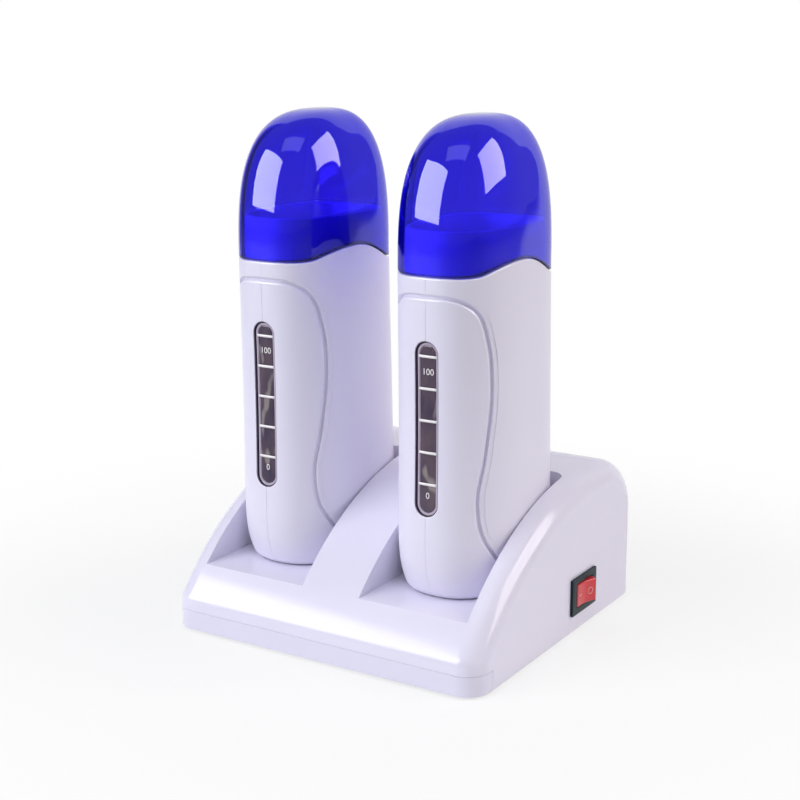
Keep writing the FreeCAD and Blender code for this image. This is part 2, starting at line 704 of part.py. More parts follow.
def switch_housing():
    inner = side - d.switch_body_depth
    half_y = d.switch_body_length / 2
    half_z = d.switch_body_height / 2
    z = d.switch_height
    bezel = box("switch_bezel", (side, side + d.bezel_proud),
                (switch_y - d.bezel_length / 2, switch_y + d.bezel_length / 2),
                (z - d.bezel_height / 2, z + d.bezel_height / 2))
    block = box("switch_block", (inner, side), (switch_y - half_y, switch_y + half_y),
                (z - half_z, z + half_z))
    room_y = d.rocker_reach + d.hole_gap
    room_z = half_z - d.switch_wall
    room = box("switch_room", (inner + d.switch_floor, side + d.bezel_proud + OVERCUT),
               (switch_y - room_y, switch_y + room_y), (z - room_z, z + room_z))
    pivot = rod("switch_pivot_hole", "z", (pivot_x, switch_y, z - half_z - OVERCUT),
                d.pivot_radius + d.fit_gap, d.switch_body_height + OVERCUT * 2)
    slots = [box(f"terminal_slot_{number}", (inner - OVERCUT, inner + d.switch_floor + OVERCUT),
                 (y - d.terminal_thickness / 2 - d.fit_gap, y + d.terminal_thickness / 2 + d.fit_gap),
                 (z - d.terminal_width / 2 - d.fit_gap, z + d.terminal_width / 2 + d.fit_gap))
             for number, y in terminal_places()]
    shell = fuse("switch_shell", [bezel, block])
    return node(cut("switch_housing", shell, [room, pivot] + slots))


def terminal_places():
    return [(1, switch_y - d.terminal_pitch / 2), (2, switch_y + d.terminal_pitch / 2)]


def switch_terminals():
    inner = side - d.switch_body_depth
    blades = [box(f"switch_blade_{number}", (inner - d.terminal_length,
                                               inner + d.switch_floor + d.terminal_inside),
                  (y - d.terminal_thickness / 2, y + d.terminal_thickness / 2),
                  (d.switch_height - d.terminal_width / 2, d.switch_height + d.terminal_width / 2))
              for number, y in terminal_places()]
    return node(group("switch_terminals", blades))


def switch_rocker():
    """The rocker, with its front end pressed in: two faces that meet in a fold, and round ends."""
    reach = float(d.rocker_reach)
    crown = float(d.rocker_crown)
    under = -float(d.rocker_underside)
    half_nose = float(d.rocker_nose_half)
    nose = -float(d.rocker_nose)
    end = math.sqrt(reach * reach - crown * crown)
    heel = math.sqrt(reach * reach - under * under)

    def at(out, along):
        return FreeCAD.Vector(out, along, 0)

    profile = Part.Wire([
        Part.LineSegment(at(crown, -end), at(float(d.rocker_dip), 0)).toShape(),
        Part.LineSegment(at(float(d.rocker_dip), 0), at(crown, end)).toShape(),
        Part.Arc(at(crown, end), at(0, reach), at(under, heel)).toShape(),
        Part.LineSegment(at(under, heel), at(under, half_nose)).toShape(),
        Part.LineSegment(at(under, half_nose), at(nose, half_nose)).toShape(),
        Part.LineSegment(at(nose, half_nose), at(nose, -half_nose)).toShape(),
        Part.LineSegment(at(nose, -half_nose), at(under, -half_nose)).toShape(),
        Part.LineSegment(at(under, -half_nose), at(under, -heel)).toShape(),
        Part.Arc(at(under, -heel), at(0, -reach), at(crown, -end)).toShape(),
    ])
    half = float(d.rocker_half_height)
    block = Part.Face(profile).extrude(FreeCAD.Vector(0, 0, 2 * half))
    stub = float(d.switch_body_height) / 2 - float(d.switch_wall) + float(d.pivot_length)
    pin = Part.makeCylinder(float(d.pivot_radius), 2 * stub, FreeCAD.Vector(0, 0, half - stub))
    shape = block.fuse(pin).removeSplitter()
    rocker = feature("switch_rocker", shape)
    tilt = FreeCAD.Rotation(FreeCAD.Vector(0, 0, 1), -float(d.rocker_tilt))
    return node(place(rocker, pivot_x, switch_y, d.switch_height - d.rocker_half_height, tilt))


def switch_contact_bridge():
    """The see-saw contact under the rocker's nose, tilted the other way."""
    plate = box("bridge_plate", (-d.bridge_thickness / 2, d.bridge_thickness / 2),
                (-d.bridge_half_length, d.bridge_half_length),
                (-d.bridge_half_height, d.bridge_half_height))
    tilt = FreeCAD.Rotation(FreeCAD.Vector(0, 0, 1), float(d.bridge_tilt))
    bridge = group("switch_contact_bridge", [plate])
    return node(place(bridge, side - d.bridge_depth, switch_y, d.switch_height, tilt))


# ---------------------------------------------------------------- base: inlet, block, wires

def inlet_socket():
    x = -d.inlet_side
    z = d.inlet_height
    flange = box("inlet_flange", (x - d.inlet_flange_width / 2, x + d.inlet_flange_width / 2),
                 (back, back + d.inlet_flange_proud),
                 (z - d.inlet_flange_height / 2, z + d.inlet_flange_height / 2))
    block = box("inlet_block", (x - d.inlet_body_width / 2, x + d.inlet_body_width / 2),
                (back - d.inlet_body_depth, back),
                (z - d.inlet_body_height / 2, z + d.inlet_body_height / 2))
    floor_y = back - d.inlet_body_depth + d.inlet_floor
    length = d.inlet_body_depth - d.inlet_floor + d.inlet_flange_proud + OVERCUT
    lobes = [rod(f"inlet_{name}_lobe", "y", (x + d.inlet_pin_pitch * sign / 2, floor_y, z), d.inlet_lobe,
                 length) for name, sign in SIDES]
    web = box("inlet_web", (x - d.inlet_pin_pitch / 2, x + d.inlet_pin_pitch / 2),
              (floor_y, floor_y + length), (z - d.inlet_waist, z + d.inlet_waist))
    hole_y = floor_y - d.inlet_floor - OVERCUT
    pin_holes = [rod(f"inlet_{name}_pin_hole", "y", (x + d.inlet_pin_pitch * sign / 2, hole_y, z),
                     d.inlet_pin_radius + d.fit_gap, d.inlet_floor + OVERCUT * 2)
                 for name, sign in SIDES]
    shell = fuse("inlet_shell", [flange, block])
    return node(cut("inlet_socket", shell, lobes + [web] + pin_holes))


def inlet_pins():
    y0 = back - d.inlet_body_depth - d.inlet_tail
    length = d.inlet_tail + d.inlet_floor + d.inlet_pin_length
    z = d.inlet_height
    pins = [rod(f"inlet_{name}_pin", "y", (-d.inlet_side + d.inlet_pin_pitch * sign / 2, y0, z),
                d.inlet_pin_radius, length) for name, sign in SIDES]
    return node(group("inlet_pins", pins))


def terminal_block():
    y = front + d.block_back
    half = d.block_length / 2
    block = box("block_body", (-half, half), (y - d.block_width / 2, y + d.block_width / 2),
                (plate_top, plate_top + d.block_height))
    screws = [rod(f"block_well_{number}", "z", (x, y, plate_top + d.block_web), d.block_well,
                  d.block_height) for number, x in enumerate(block_places())]
    return node(cut("terminal_block", block, screws))


def block_places():
    """The terminal block's screws, from left to right."""
    pitch = d.block_length / BLOCK_SCREWS
    return [pitch * (number - (BLOCK_SCREWS - 1) / 2) for number in range(BLOCK_SCREWS)]


def base_wiring():
    """Mains from the inlet to the block, on to the switch, and to both contact holders."""
    block_y = front + d.block_back
    z_block = plate_top + d.block_height / 2
    y_rear = block_y + d.block_width / 2 + d.wire_gap
    y_fore = block_y - d.block_width / 2 - d.wire_gap
    y_tail = back - d.inlet_body_depth - d.inlet_tail - d.wire_gap
    x_blade = side - d.switch_body_depth - d.terminal_length - d.wire_gap
    y_holder = pin_y + d.holder_width / 2 + d.wire_gap
    z_holder = floor_under - d.holder_height / 2
    x_block = block_places()
    routes = []
    for number, sign in ((0, -1.0), (1, 1.0)):
        x_tail = -d.inlet_side + d.inlet_pin_pitch * sign / 2
        y_turn = y_rear + d.wire_lane * (number + 1)
        routes.append([(x_tail, y_tail, d.inlet_height), (x_tail, y_turn, d.inlet_height),
                       (x_block[number], y_turn, z_block), (x_block[number], y_rear, z_block)])
    for number, blade in ((3, 0), (2, 1)):
        lanes = 1 if number == 3 else 2
        y_turn = y_rear + d.wire_lane * lanes
        x_turn = x_blade - d.wire_lane * (4 - lanes)
        y_blade = terminal_places()[blade][1]
        routes.append([(x_block[number], y_rear, z_block), (x_block[number], y_turn, z_block),
                       (x_turn, y_turn, d.switch_height), (x_turn, y_blade, d.switch_height),
                       (x_blade, y_blade, d.switch_height)])
    run = d.wire_lane * 2
    for number, sign, way in ((0, -1.0, -1.0), (1, -1.0, 1.0), (2, 1.0, -1.0), (3, 1.0, 1.0)):
        x_holder = d.handset_spacing * sign / 2 + d.pin_pitch * way / 2
        routes.append([(x_block[number], y_fore, z_block), (x_block[number], y_fore - run, z_block),
                       (x_holder, y_holder + run, z_holder), (x_holder, y_holder, z_holder)])
    wires = [wire_solid([point(*corner) for corner in route]) for route in routes]
    return node(feature("base_wiring", Part.makeCompound(wires)))


# ---------------------------------------------------------------- handset: common form

def front_line(height):
    """How far the handset's front runs in at a height above its foot."""
    lean = math.cos(math.pi * (height - float(d.waist_height)) / float(d.shoulder_height))
    return float(d.waist_depth) * max(lean, 0.0) ** 2


def heel_line(height, setback):
    """How far a side of the handset runs in near its foot."""
    left = max(float(d.heel_height) - max(height, 0.0), 0.0) / float(d.heel_height)
    edge = max(float(d.foot_edge) - max(height, 0.0), 0.0)
    return setback * left ** float(d.heel_power) + edge * edge / (2 * float(d.foot_edge))


def outline(height, inset):
    """The handset's horizontal outline at a height above its foot, drawn in by an inset."""
    shoulder = float(d.shoulder_height)
    low = min(height, shoulder)
    lean = float(d.back_reach_high - d.back_reach_low) * low / shoulder
    ahead = float(d.nose_reach) - front_line(low) - heel_line(low, float(d.heel_setback)) - inset
    behind = float(d.back_reach_low) + lean - heel_line(low, 0.0) - inset
    half = float(d.handset_half_width) - heel_line(low, float(d.heel_taper)) - inset
    scale = 1.0
    shift = 0.0
    if height > shoulder:
        share = (height - shoulder) / (float(d.handset_height) - inset - shoulder)
        power = float(d.dome_power)
        scale = (1.0 - share ** power) ** (1.0 / power)
        shift = float(d.dome_shift) * (1.0 - scale)
    points = []
    for step in range(OUTLINE_STEPS):
        angle = 2 * math.pi * step / OUTLINE_STEPS
        c = math.cos(angle)
        s = math.sin(angle)
        reach, power = (ahead, float(d.nose_power)) if s < 0 else (behind, float(d.back_power))
        radius = (abs(c / half) ** power + abs(s / reach) ** power) ** (-1.0 / power)
        points.append(point(radius * c * scale, float(widest) + shift + radius * s * scale,
                            float(foot) + height))
    curve = Part.BSplineCurve()
    curve.interpolate(points, PeriodicFlag=True)
    return Part.Wire(curve.toShape())


def form(inset):
    """The handset's whole outer form, cap and all, drawn in by an inset."""
    heel = float(d.heel_height)
    shoulder = float(d.shoulder_height)
    lowest = 0.0 if inset == 0.0 else -OVERCUT * 3
    heights = [lowest, float(d.foot_edge) / 2, float(d.foot_edge)]
    heights += [heel * share for share in (0.2, 0.4, 0.65, 1.0)]
    heights += [heel + (shoulder - heel) * share for share in (0.25, 0.5, 0.75, 1.0)]
    dome = float(d.handset_height) - inset - shoulder
    for step in range(1, DOME_STEPS + 1):
        angle = math.radians(DOME_END) * step / DOME_STEPS
        heights.append(shoulder + dome * math.sin(angle) ** (2.0 / float(d.dome_power)))
    return Part.makeLoft([outline(height, inset) for height in heights], True, False)


def side_prism(line, close_height):
    """A solid bounded by a line in the side view and a level, right across the handset."""
    curve = Part.BSplineCurve()
    curve.interpolate(line)
    level = float(close_height)
    corners = [line[-1], point(0, line[-1].y, level), point(0, line[0].y, level), line[0]]
    edges = [curve.toShape()] + [Part.LineSegment(a, b).toShape() for a, b in zip(corners, corners[1:])]
    return across(Part.Wire(edges))


def across(wire):
    """A flat outline in the side view, drawn out over the handset's whole width."""
    face = Part.Face(wire)
    face.translate(FreeCAD.Vector(-FAR / 2, 0, 0))
    return face.extrude(FreeCAD.Vector(FAR, 0, 0))


def cap_line(rise):
    shoulder = float(foot) + float(d.shoulder_height)
    return [point(0, float(widest) + along, shoulder + up + float(rise)) for along, up in CAP_LINE]


def groove_band():
    """The upright band, right across the handset, in which the groove is cut."""
    line = Part.BSplineCurve()
    line.interpolate([point(0, float(widest) + along, float(foot) + up) for along, up in GROOVE_LINE])
    half_width = float(d.groove_width) / 2
    sides = []
    for sign in (-1.0, 1.0):
        beside = []
        for number in range(len(GROOVE_LINE)):
            knot = line.getKnot(number + 1)
            tangent = line.tangent(knot)[0]
            normal = FreeCAD.Vector(0, -tangent.z, tangent.y)
            beside.append(line.value(knot) + normal * (half_width * sign))
        curve = Part.BSplineCurve()
        curve.interpolate(beside)
        sides.append(curve)
    near, far = sides
    edges = [near.toShape(), Part.LineSegment(near.EndPoint, far.EndPoint).toShape(),
             far.toShape(), Part.LineSegment(far.StartPoint, near.StartPoint).toShape()]
    return across(Part.Wire(Part.__sortEdges__(edges)))


def window_slot(half, z):
    """A slot with semicircular ends, from in front of a handset to its widest line."""
    y = float(handset_front) - OVERCUT
    depth = float(widest) - y
    half = float(half)
    z0 = float(z[0]) + half
    z1 = float(z[1]) - half
    along = FreeCAD.Vector(0, 1, 0)
    slot = Part.makeBox(2 * half, depth, z1 - z0, point(-half, y, z0))
    for z_end in (z0, z1):
        slot = slot.fuse(Part.makeCylinder(half, depth, point(0, y, z_end), along))
    return slot.removeSplitter()


def shell_screw_places():
    return [(widest - d.low_screw_front, foot + d.low_screw_height),
            (widest + d.low_screw_rear, foot + d.low_screw_height),
            (widest + d.high_screw_rear, foot + d.high_screw_height)]


OUTER = form(0.0)
SHELL_INNER = form(float(d.shell_wall))


def shell_halves():
    """The left and right halves of a handset's shell, split on its middle plane."""
    skin = OUTER.cut(SHELL_INNER)
    body = skin.common(side_prism(cap_line(0.0), float(foot) - FAR))
    groove = groove_band().common(OUTER).cut(form(float(d.groove_depth)))
    body = body.cut(groove)
    window = window_slot(d.window_half_width, (foot + d.window_low, foot + d.window_high))
    body = body.cut(window)
    halves = {}
    for name, sign in SIDES:
        low = -FAR if sign < 0 else 0.0
        corner = point(low, float(widest) - FAR / 2, float(foot) - FAR / 2)
        half = body.common(Part.makeBox(FAR, FAR, 2 * FAR, corner))
        for y, z in shell_screw_places():
            along = FreeCAD.Vector(sign, 0, 0)
            post = Part.makeCylinder(float(d.shell_post_radius), FAR, point(0, y, z), along)
            half = half.fuse(post.common(OUTER))
            hole = float(d.shell_screw_radius + d.fit_gap)
            if sign < 0:
                seat = float(d.shell_screw_seat)
                half = half.cut(Part.makeCylinder(hole, seat + OVERCUT, point(0, y, z), along))
                recess = float(d.shell_screw_head + d.part_gap)
                half = half.cut(Part.makeCylinder(recess, FAR, point(-seat, y, z), along))
            else:
                depth = float(d.shell_screw_length - d.shell_screw_seat) + OVERCUT
                half = half.cut(Part.makeCylinder(hole, depth, point(0, y, z), along))
        halves[name] = half
    return halves


HALVES = shell_halves()


def cap_shape():
    hollow = OUTER.cut(form(float(d.cap_wall)))
    return hollow.common(side_prism(cap_line(d.cap_gap), float(foot) + FAR))


def window_shape():
    gap = float(d.window_gap)
    slot = window_slot(d.window_half_width - gap, (foot + d.window_low + gap, foot + d.window_high - gap))
    pane = form(float(d.window_recess)).cut(form(float(d.window_recess + d.window_thickness)))
    return pane.common(slot)


def collar_shape():
    ring = form(float(d.cap_wall + d.collar_gap)).common(slab(d.collar_low, d.collar_high))
    mouth = oval_shape(d.well_half_width - d.well_wall, d.well_half_length - d.well_wall,
                       (foot + d.collar_low - OVERCUT, foot + d.collar_high + OVERCUT))
    return ring.cut(mouth)


def slab(low, high):
    """Everything between two heights above the handset's foot."""
    corner = point(-FAR / 2, float(widest) - FAR / 2, foot + low)
    return Part.makeBox(FAR, FAR, float(high - low), corner)


def oval_shape(half_width, half_length, z):
    """An upright prism about the well's middle with semicircular front and back ends."""
    radius = float(half_width)
    straight = float(half_length) - radius
    height = float(z[1] - z[0])
    prism = Part.makeBox(2 * radius, 2 * straight, height, point(-radius, float(well_y) - straight, z[0]))
    for end in (well_y - straight, well_y + straight):
        prism = prism.fuse(Part.makeCylinder(radius, height, point(0, end, z[0])))
    return prism.removeSplitter()


def foot_plate_shape():
    plate = form(float(d.shell_wall + d.foot_plate_gap)).common(slab(sized(0.0), d.foot_plate_thickness))
    recess = float(d.contact_radius + d.fit_gap)
    recess_depth = float(d.contact_thickness) + OVERCUT
    hole = float(d.contact_stem_radius + d.fit_gap)
    hole_depth = float(d.foot_plate_thickness) + OVERCUT
    for name, sign in SIDES:
        x = d.pin_pitch * sign / 2
        plate = plate.cut(Part.makeCylinder(recess, recess_depth, point(x, pin_y, foot - OVERCUT)))
        plate = plate.cut(Part.makeCylinder(hole, hole_depth, point(x, pin_y, foot)))
    return plate


SHARED = {
    "left_shell": HALVES["left"],
    "right_shell": HALVES["right"],
    "level_window": window_shape(),
    "neck_collar": collar_shape(),
    "bottom_plate": foot_plate_shape(),
}
CAP = cap_shape()


# ---------------------------------------------------------------- handset: pieces

def handset_x(sign):
    return d.handset_spacing * sign / 2


def heating_well(name, x):
    low = foot + d.well_low
    high = foot + d.collar_low - d.part_gap
    outside = oval(name + "_outside", d.well_half_width, d.well_half_length, well_y, (low, high))
    pad = box(name + "_pad", (-d.heater_pad_half, d.heater_pad_half), (well_y, pad_face),
              (foot + d.heater_pad_low, foot + d.heater_pad_high))
    inside = oval(name + "_inside", d.well_half_width - d.well_wall, d.well_half_length - d.well_wall,
                  well_y, (low + d.well_wall, high + OVERCUT))
    slot = box(name + "_slot", (-d.well_slot, d.well_slot),
               (well_front - OVERCUT, well_front + d.well_half_width),
               (foot + d.window_low, foot + d.window_high))
    block = fuse(name + "_block", [outside, pad])
    return node(place(cut(name, block, [inside, slot]), x))


def insulation_pads(name, x):
    z = (foot + d.pad_low, foot + d.pad_high)
    loose = d.well_half_width + d.part_gap
    long = d.well_half_length + d.part_gap
    outside = oval(name + "_outside", loose + d.pad_thickness, long + d.pad_thickness, well_y, z)
    inside = oval(name + "_inside", loose, long, well_y, (z[0] - OVERCUT, z[1] + OVERCUT))
    ring = cut(name + "_ring", outside, [inside])
    reach = d.handset_half_width
    band = box(name + "_band", (-reach, reach), (well_front + d.pad_front, well_back - d.pad_back), z)
    return node(place(common(name, [ring, band]), x))


def ptc_heater(name, x):
    y = pad_face + d.part_gap
    half = d.heater_half_width
    return node(box(name, (x - half, x + half), (y, y + d.heater_thickness),
                    (foot + d.heater_low, foot + d.heater_high)))


def heater_clamp(name, x):
    y0 = pad_face + d.part_gap * 2 + d.heater_thickness
    y1 = y0 + d.clamp_thickness
    z = (foot + d.clamp_low, foot + d.clamp_high)
    inner = d.heater_pad_half + d.part_gap
    outer = inner + d.clamp_thickness
    bridge = box(name + "_bridge", (-outer, outer), (y0, y1), z)
    legs = [box(f"{name}_{end}_leg", (inner * sign - d.clamp_thickness * (1 - sign) / 2,
                                      inner * sign + d.clamp_thickness * (1 + sign) / 2),
                (y1 - d.clamp_leg, y1), z) for end, sign in SIDES]
    return node(place(fuse(name, [bridge] + legs), x))


def thermostat(name, x):
    start = (x, pad_face + d.part_gap, foot + d.thermostat_height)
    return node(rod(name, "y", start, d.thermostat_radius, d.thermostat_thickness))


def contact_plates(name, x):
    plates = []
    for end, way in SIDES:
        place_ = (d.pin_pitch * way / 2, pin_y, foot)
        disc = rod(f"{name}_{end}_disc", "z", place_, d.contact_radius, d.contact_thickness)
        stem = rod(f"{name}_{end}_stem", "z", place_, d.contact_stem_radius,
                   d.contact_thickness + d.contact_stem_length)
        plates.append(fuse(f"{name}_{end}", [disc, stem]))
    return node(place(group(name, plates), x))


def shell_screws(name, x):
    screws = []
    seat = -d.shell_screw_seat
    top = seat - d.shell_screw_head_height
    for number, (y, z) in enumerate(shell_screw_places(), start=1):
        shank = rod(f"{name}_{number}_shank", "x", (seat, y, z), d.shell_screw_radius,
                    d.shell_screw_length)
        head = rod(f"{name}_{number}_head", "x", (top, y, z), d.shell_screw_head,
                   d.shell_screw_head_height)
        screws.append(fuse(f"{name}_{number}", [shank, head]))
    return node(place(group(name, screws), x))


def handset_wiring(name, x):
    """From one contact to the heater, and from the other through the thermostat."""
    z_rivet = foot + d.contact_thickness + d.contact_stem_length + d.wire_gap
    z_under = foot + d.wire_level
    y_up = pad_face + d.part_gap + d.heater_thickness / 2
    z_heater = foot + d.heater_low - d.wire_gap
    z_stat = foot + d.thermostat_height
    half = d.pin_pitch / 2
    to_heater = [(half, pin_y, z_rivet), (half, pin_y, z_under), (half, y_up, z_under),
                 (half, y_up, z_heater)]
    to_stat = [(-half, pin_y, z_rivet), (-half, pin_y, z_under), (-half, y_up, z_under),
               (-half, y_up, z_stat), (-d.thermostat_radius - d.wire_gap, y_up, z_stat)]
    link = [(0.0, y_up, z_stat + d.thermostat_radius + d.wire_gap), (0.0, y_up, z_heater)]
    wires = [wire_solid([point(*corner) for corner in route]) for route in (to_heater, to_stat, link)]
    return node(place(feature(name, Part.makeCompound(wires)), x))


def handset(label, sign):
    x = handset_x(sign)
    for piece, shape in SHARED.items():
        node(place(feature(f"{label}_handset_{piece}", shape), x))
    makers = (heating_well, insulation_pads, ptc_heater, heater_clamp, thermostat, contact_plates,
              shell_screws, handset_wiring)
    for make in makers:
        piece = "wiring" if make is handset_wiring else make.__name__
        make(f"{label}_handset_{piece}", x)
    node(place(feature(f"{label}_cap", CAP), x))


# ---------------------------------------------------------------- the whole object

base_top_housing()
base_bottom_plate()
base_feet()
base_screws()
contact_holders()
contact_pins()
switch_housing()
switch_terminals()
switch_rocker()
switch_contact_bridge()
inlet_socket()
inlet_pins()
terminal_block()
base_wiring()
for label, sign in SIDES:
    handset(label, sign)

doc.recompute()
for obj in doc.Objects:
    if "Invalid" in obj.State or "Error" in obj.State:
        raise RuntimeError(f"{obj.Label} failed to build: {obj.State}")
for obj in NODES:
    if obj.Shape.isNull() or not obj.Shape.isValid() or not obj.Shape.Solids:
        raise RuntimeError(f"{obj.Label} has no valid solid")

whole = FreeCAD.BoundBox()
for obj in NODES:
    whole.add(obj.Shape.optimalBoundingBox(False, False))
to_origin = FreeCAD.Vector(-whole.Center.x, -whole.Center.y, 0)

os.makedirs("parts", exist_ok=True)
for obj in NODES:
    obj.Shape.translated(to_origin).exportStep(f"parts/{obj.Label}.step")
    print(f"{obj.Label:36s} solids {len(obj.Shape.Solids):2d} volume {obj.Shape.Volume:10.1f}")
print(f"{len(NODES)} nodes, {whole.XLength:.2f} x {whole.YLength:.2f} x {whole.ZLength:.2f} mm,"
      f" moved by {to_origin.x:.3f}, {to_origin.y:.3f}")
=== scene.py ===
# %% [markdown]
# # A roll-on wax heater
# Two white handsets with deep blue caps stand in a moulded base. A handset holds a cartridge of
# wax, and the base feeds its heater. The solid model is loaded first, as a fixed frame: every
# surface that is made below takes its place and its size from it, and moves with its bodies.

# %% Load the solid model
import json
import math

import bmesh
import bpy
import numpy as np
from mathutils import Matrix, Vector


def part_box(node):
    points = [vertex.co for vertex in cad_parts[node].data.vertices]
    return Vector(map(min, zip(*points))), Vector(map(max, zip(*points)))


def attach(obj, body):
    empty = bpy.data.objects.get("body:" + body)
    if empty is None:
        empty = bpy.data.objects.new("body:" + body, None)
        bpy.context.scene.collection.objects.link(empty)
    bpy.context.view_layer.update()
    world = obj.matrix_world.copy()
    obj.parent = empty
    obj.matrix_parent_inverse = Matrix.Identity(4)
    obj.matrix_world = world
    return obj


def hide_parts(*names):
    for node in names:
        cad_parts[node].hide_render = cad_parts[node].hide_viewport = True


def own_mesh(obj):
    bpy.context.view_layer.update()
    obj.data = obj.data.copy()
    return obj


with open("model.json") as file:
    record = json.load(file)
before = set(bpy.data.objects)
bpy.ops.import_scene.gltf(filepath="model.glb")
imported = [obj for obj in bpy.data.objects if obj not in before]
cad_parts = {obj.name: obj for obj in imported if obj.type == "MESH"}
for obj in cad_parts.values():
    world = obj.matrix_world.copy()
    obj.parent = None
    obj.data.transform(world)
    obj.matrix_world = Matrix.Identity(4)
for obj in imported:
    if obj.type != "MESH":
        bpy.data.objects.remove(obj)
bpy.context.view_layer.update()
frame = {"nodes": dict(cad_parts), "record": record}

nodes = frame["nodes"]


def in_scene(name, data):
    """A new object of the scene for a mesh, a lamp, a camera or a text."""
    thing = bpy.data.objects.new(name, data)
    bpy.context.scene.collection.objects.link(thing)
    return thing


def quarter_turn(steps, end=90.0):
    """Angles from 0 to a quarter turn, or to another end in degrees."""
    return np.radians(np.linspace(0.0, end, steps))


# %% [markdown]
# ## Millimetres about the middle of the base
# A heater like this is drawn in millimetres about the middle of its base, but the frame's origin
# lies under the middle of the whole object, which the switch and the inlet move a little. Points
# are therefore worked out in millimetres about the base, and one function turns them into metres
# in the frame.

# %% From drawing to frame
housing_low, housing_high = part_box("base_top_housing")
BASE_MIDDLE = (np.array(housing_low) + np.array(housing_high)) / 2 * [1.0, 1.0, 0.0]


def in_frame(points):
    """Metres in the frame, from millimetres about the middle of the base, on the table."""
    return np.asarray(points, float) * 0.001 + BASE_MIDDLE


print("middle of the base at", (BASE_MIDDLE * 1000).round(3), "mm")

# %% [markdown]
# ## The camera
# The heater is seen from its front right, a little from above, with a long lens, so that its
# upright edges stay nearly parallel. The camera's three directions are written from its angles
# round the object and above the table, which says more than three Euler angles would.

# %% Camera
AZIMUTH, ELEVATION, ROLL = (math.radians(a) for a in (32.124, 13.771, -0.198))
CAMERA_PLACE = (0.318245, -0.5184, 0.2379)
SENSOR_WIDTH, FOCAL_PIXELS, PICTURE_PIXELS = 36.0, 1559.86, 800.0
back_way = Vector((math.sin(AZIMUTH) * math.cos(ELEVATION), -math.cos(AZIMUTH) * math.cos(ELEVATION),
                   math.sin(ELEVATION)))
level_right = Vector((math.cos(AZIMUTH), math.sin(AZIMUTH), 0.0))
level_up = back_way.cross(level_right)
right_way = level_right * math.cos(ROLL) + level_up * math.sin(ROLL)
up_way = level_up * math.cos(ROLL) - level_right * math.sin(ROLL)

camera = in_scene("camera", bpy.data.cameras.new("camera"))
camera.data.sensor_width = SENSOR_WIDTH
camera.data.lens = SENSOR_WIDTH * FOCAL_PIXELS / PICTURE_PIXELS
camera.data.clip_start = 0.01
camera.matrix_world = (Matrix.Translation(CAMERA_PLACE)
                       @ Matrix((right_way, up_way, back_way)).transposed().to_4x4())
bpy.context.scene.camera = camera
print("lens", round(camera.data.lens, 2), "mm")

# %% [markdown]
# ## Shader arithmetic
# A finish is a small graph of shader nodes. Numbers in it read best as arithmetic, so one class
# wraps a socket and lets plus, minus and times add Math nodes, and another holds the material
# and has one method for every other kind of node.

# %% Numbers and finishes
finishes = {}


class Number:
    """A number socket of a node tree; arithmetic on it adds Math nodes."""

    def __init__(self, finish, socket):
        self.finish = finish
        self.socket = socket

    def _math(self, operation, first, second):
        node = self.finish.add("ShaderNodeMath", {"operation": operation}, {0: first, 1: second})
        return Number(self.finish, node.outputs[0])

    def __add__(self, other):
        return self._math("ADD", self, other)

    def __sub__(self, other):
        return self._math("SUBTRACT", self, other)

    def __mul__(self, other):
        return self._math("MULTIPLY", self, other)

    def over(self, limit):
        """1 where the number is above a limit, 0 elsewhere."""
        return self._math("GREATER_THAN", self, limit)

    __radd__ = __add__
    __rmul__ = __mul__


class Finish:
    """A material and its Principled shader, kept by name, with one way to add any other node."""

    def __init__(self, name, constants):
        finishes[name] = self
        self.material = bpy.data.materials.new(name)
        self.material.use_nodes = True
        self.tree = self.material.node_tree
        self.shader = self.tree.nodes["Principled BSDF"]
        for socket, value in constants.items():
            self.shader.inputs[socket].default_value = value
        self.place = self.add("ShaderNodeTexCoord").outputs["Object"]

    def add(self, kind, settings=None, inputs=None):
        """A node of any kind: its settings are set first, then its sockets are set or linked."""
        node = self.tree.nodes.new(kind)
        for key, value in (settings or {}).items():
            if key == "stops":
                ramp = node.color_ramp
                while len(ramp.elements) < len(value):
                    ramp.elements.new(1.0)
                for element, (where, colour) in zip(ramp.elements, value):
                    element.position = where
                    element.color = colour
            else:
                setattr(node, key, value)
        for key, value in (inputs or {}).items():
            self.plug(node.inputs[key], value)
        return node

    def plug(self, socket, value):
        """Link a socket to a Number or another socket, or set it to a plain value."""
        if isinstance(value, Number):
            value = value.socket
        if isinstance(value, bpy.types.NodeSocket):
            self.tree.links.new(value, socket)
        else:
            socket.default_value = value

    def noise(self, size, detail=2.0, stretch=(1.0, 1.0, 1.0)):
        """Even noise from 0 to 1 whose patches are about a given size, in metres."""
        mapped = self.add("ShaderNodeMapping", {"vector_type": "POINT"},
                          {"Vector": self.place, "Scale": stretch})
        node = self.add("ShaderNodeTexNoise", None,
                        {"Vector": mapped.outputs[0], "Scale": 1.0 / size, "Detail": detail})
        return Number(self, node.outputs["Fac"])

    def between(self, share, low, high):
        """A colour between two others."""
        node = self.add("ShaderNodeMix", {"data_type": "RGBA"},
                        {"Factor": share, "A": (*low, 1.0), "B": (*high, 1.0)})
        return node.outputs["Result"]

    def bump(self, height, strength, depth):
        """Bump from a height between 0 and 1, with the depth of a full step in metres."""
        node = self.add("ShaderNodeBump", None,
                        {"Height": height, "Strength": strength, "Distance": depth})
        self.plug(self.shader.inputs["Normal"], node.outputs[0])

    def smooth_step(self, value, start, end, low=0.0, high=1.0):
        """A number that goes smoothly from low to high while a value goes from start to end."""
        node = self.add("ShaderNodeMapRange", {"interpolation_type": "SMOOTHSTEP"},
                        {"Value": value, "From Min": start, "From Max": end, "To Min": low, "To Max": high})
        return Number(self, node.outputs[0])


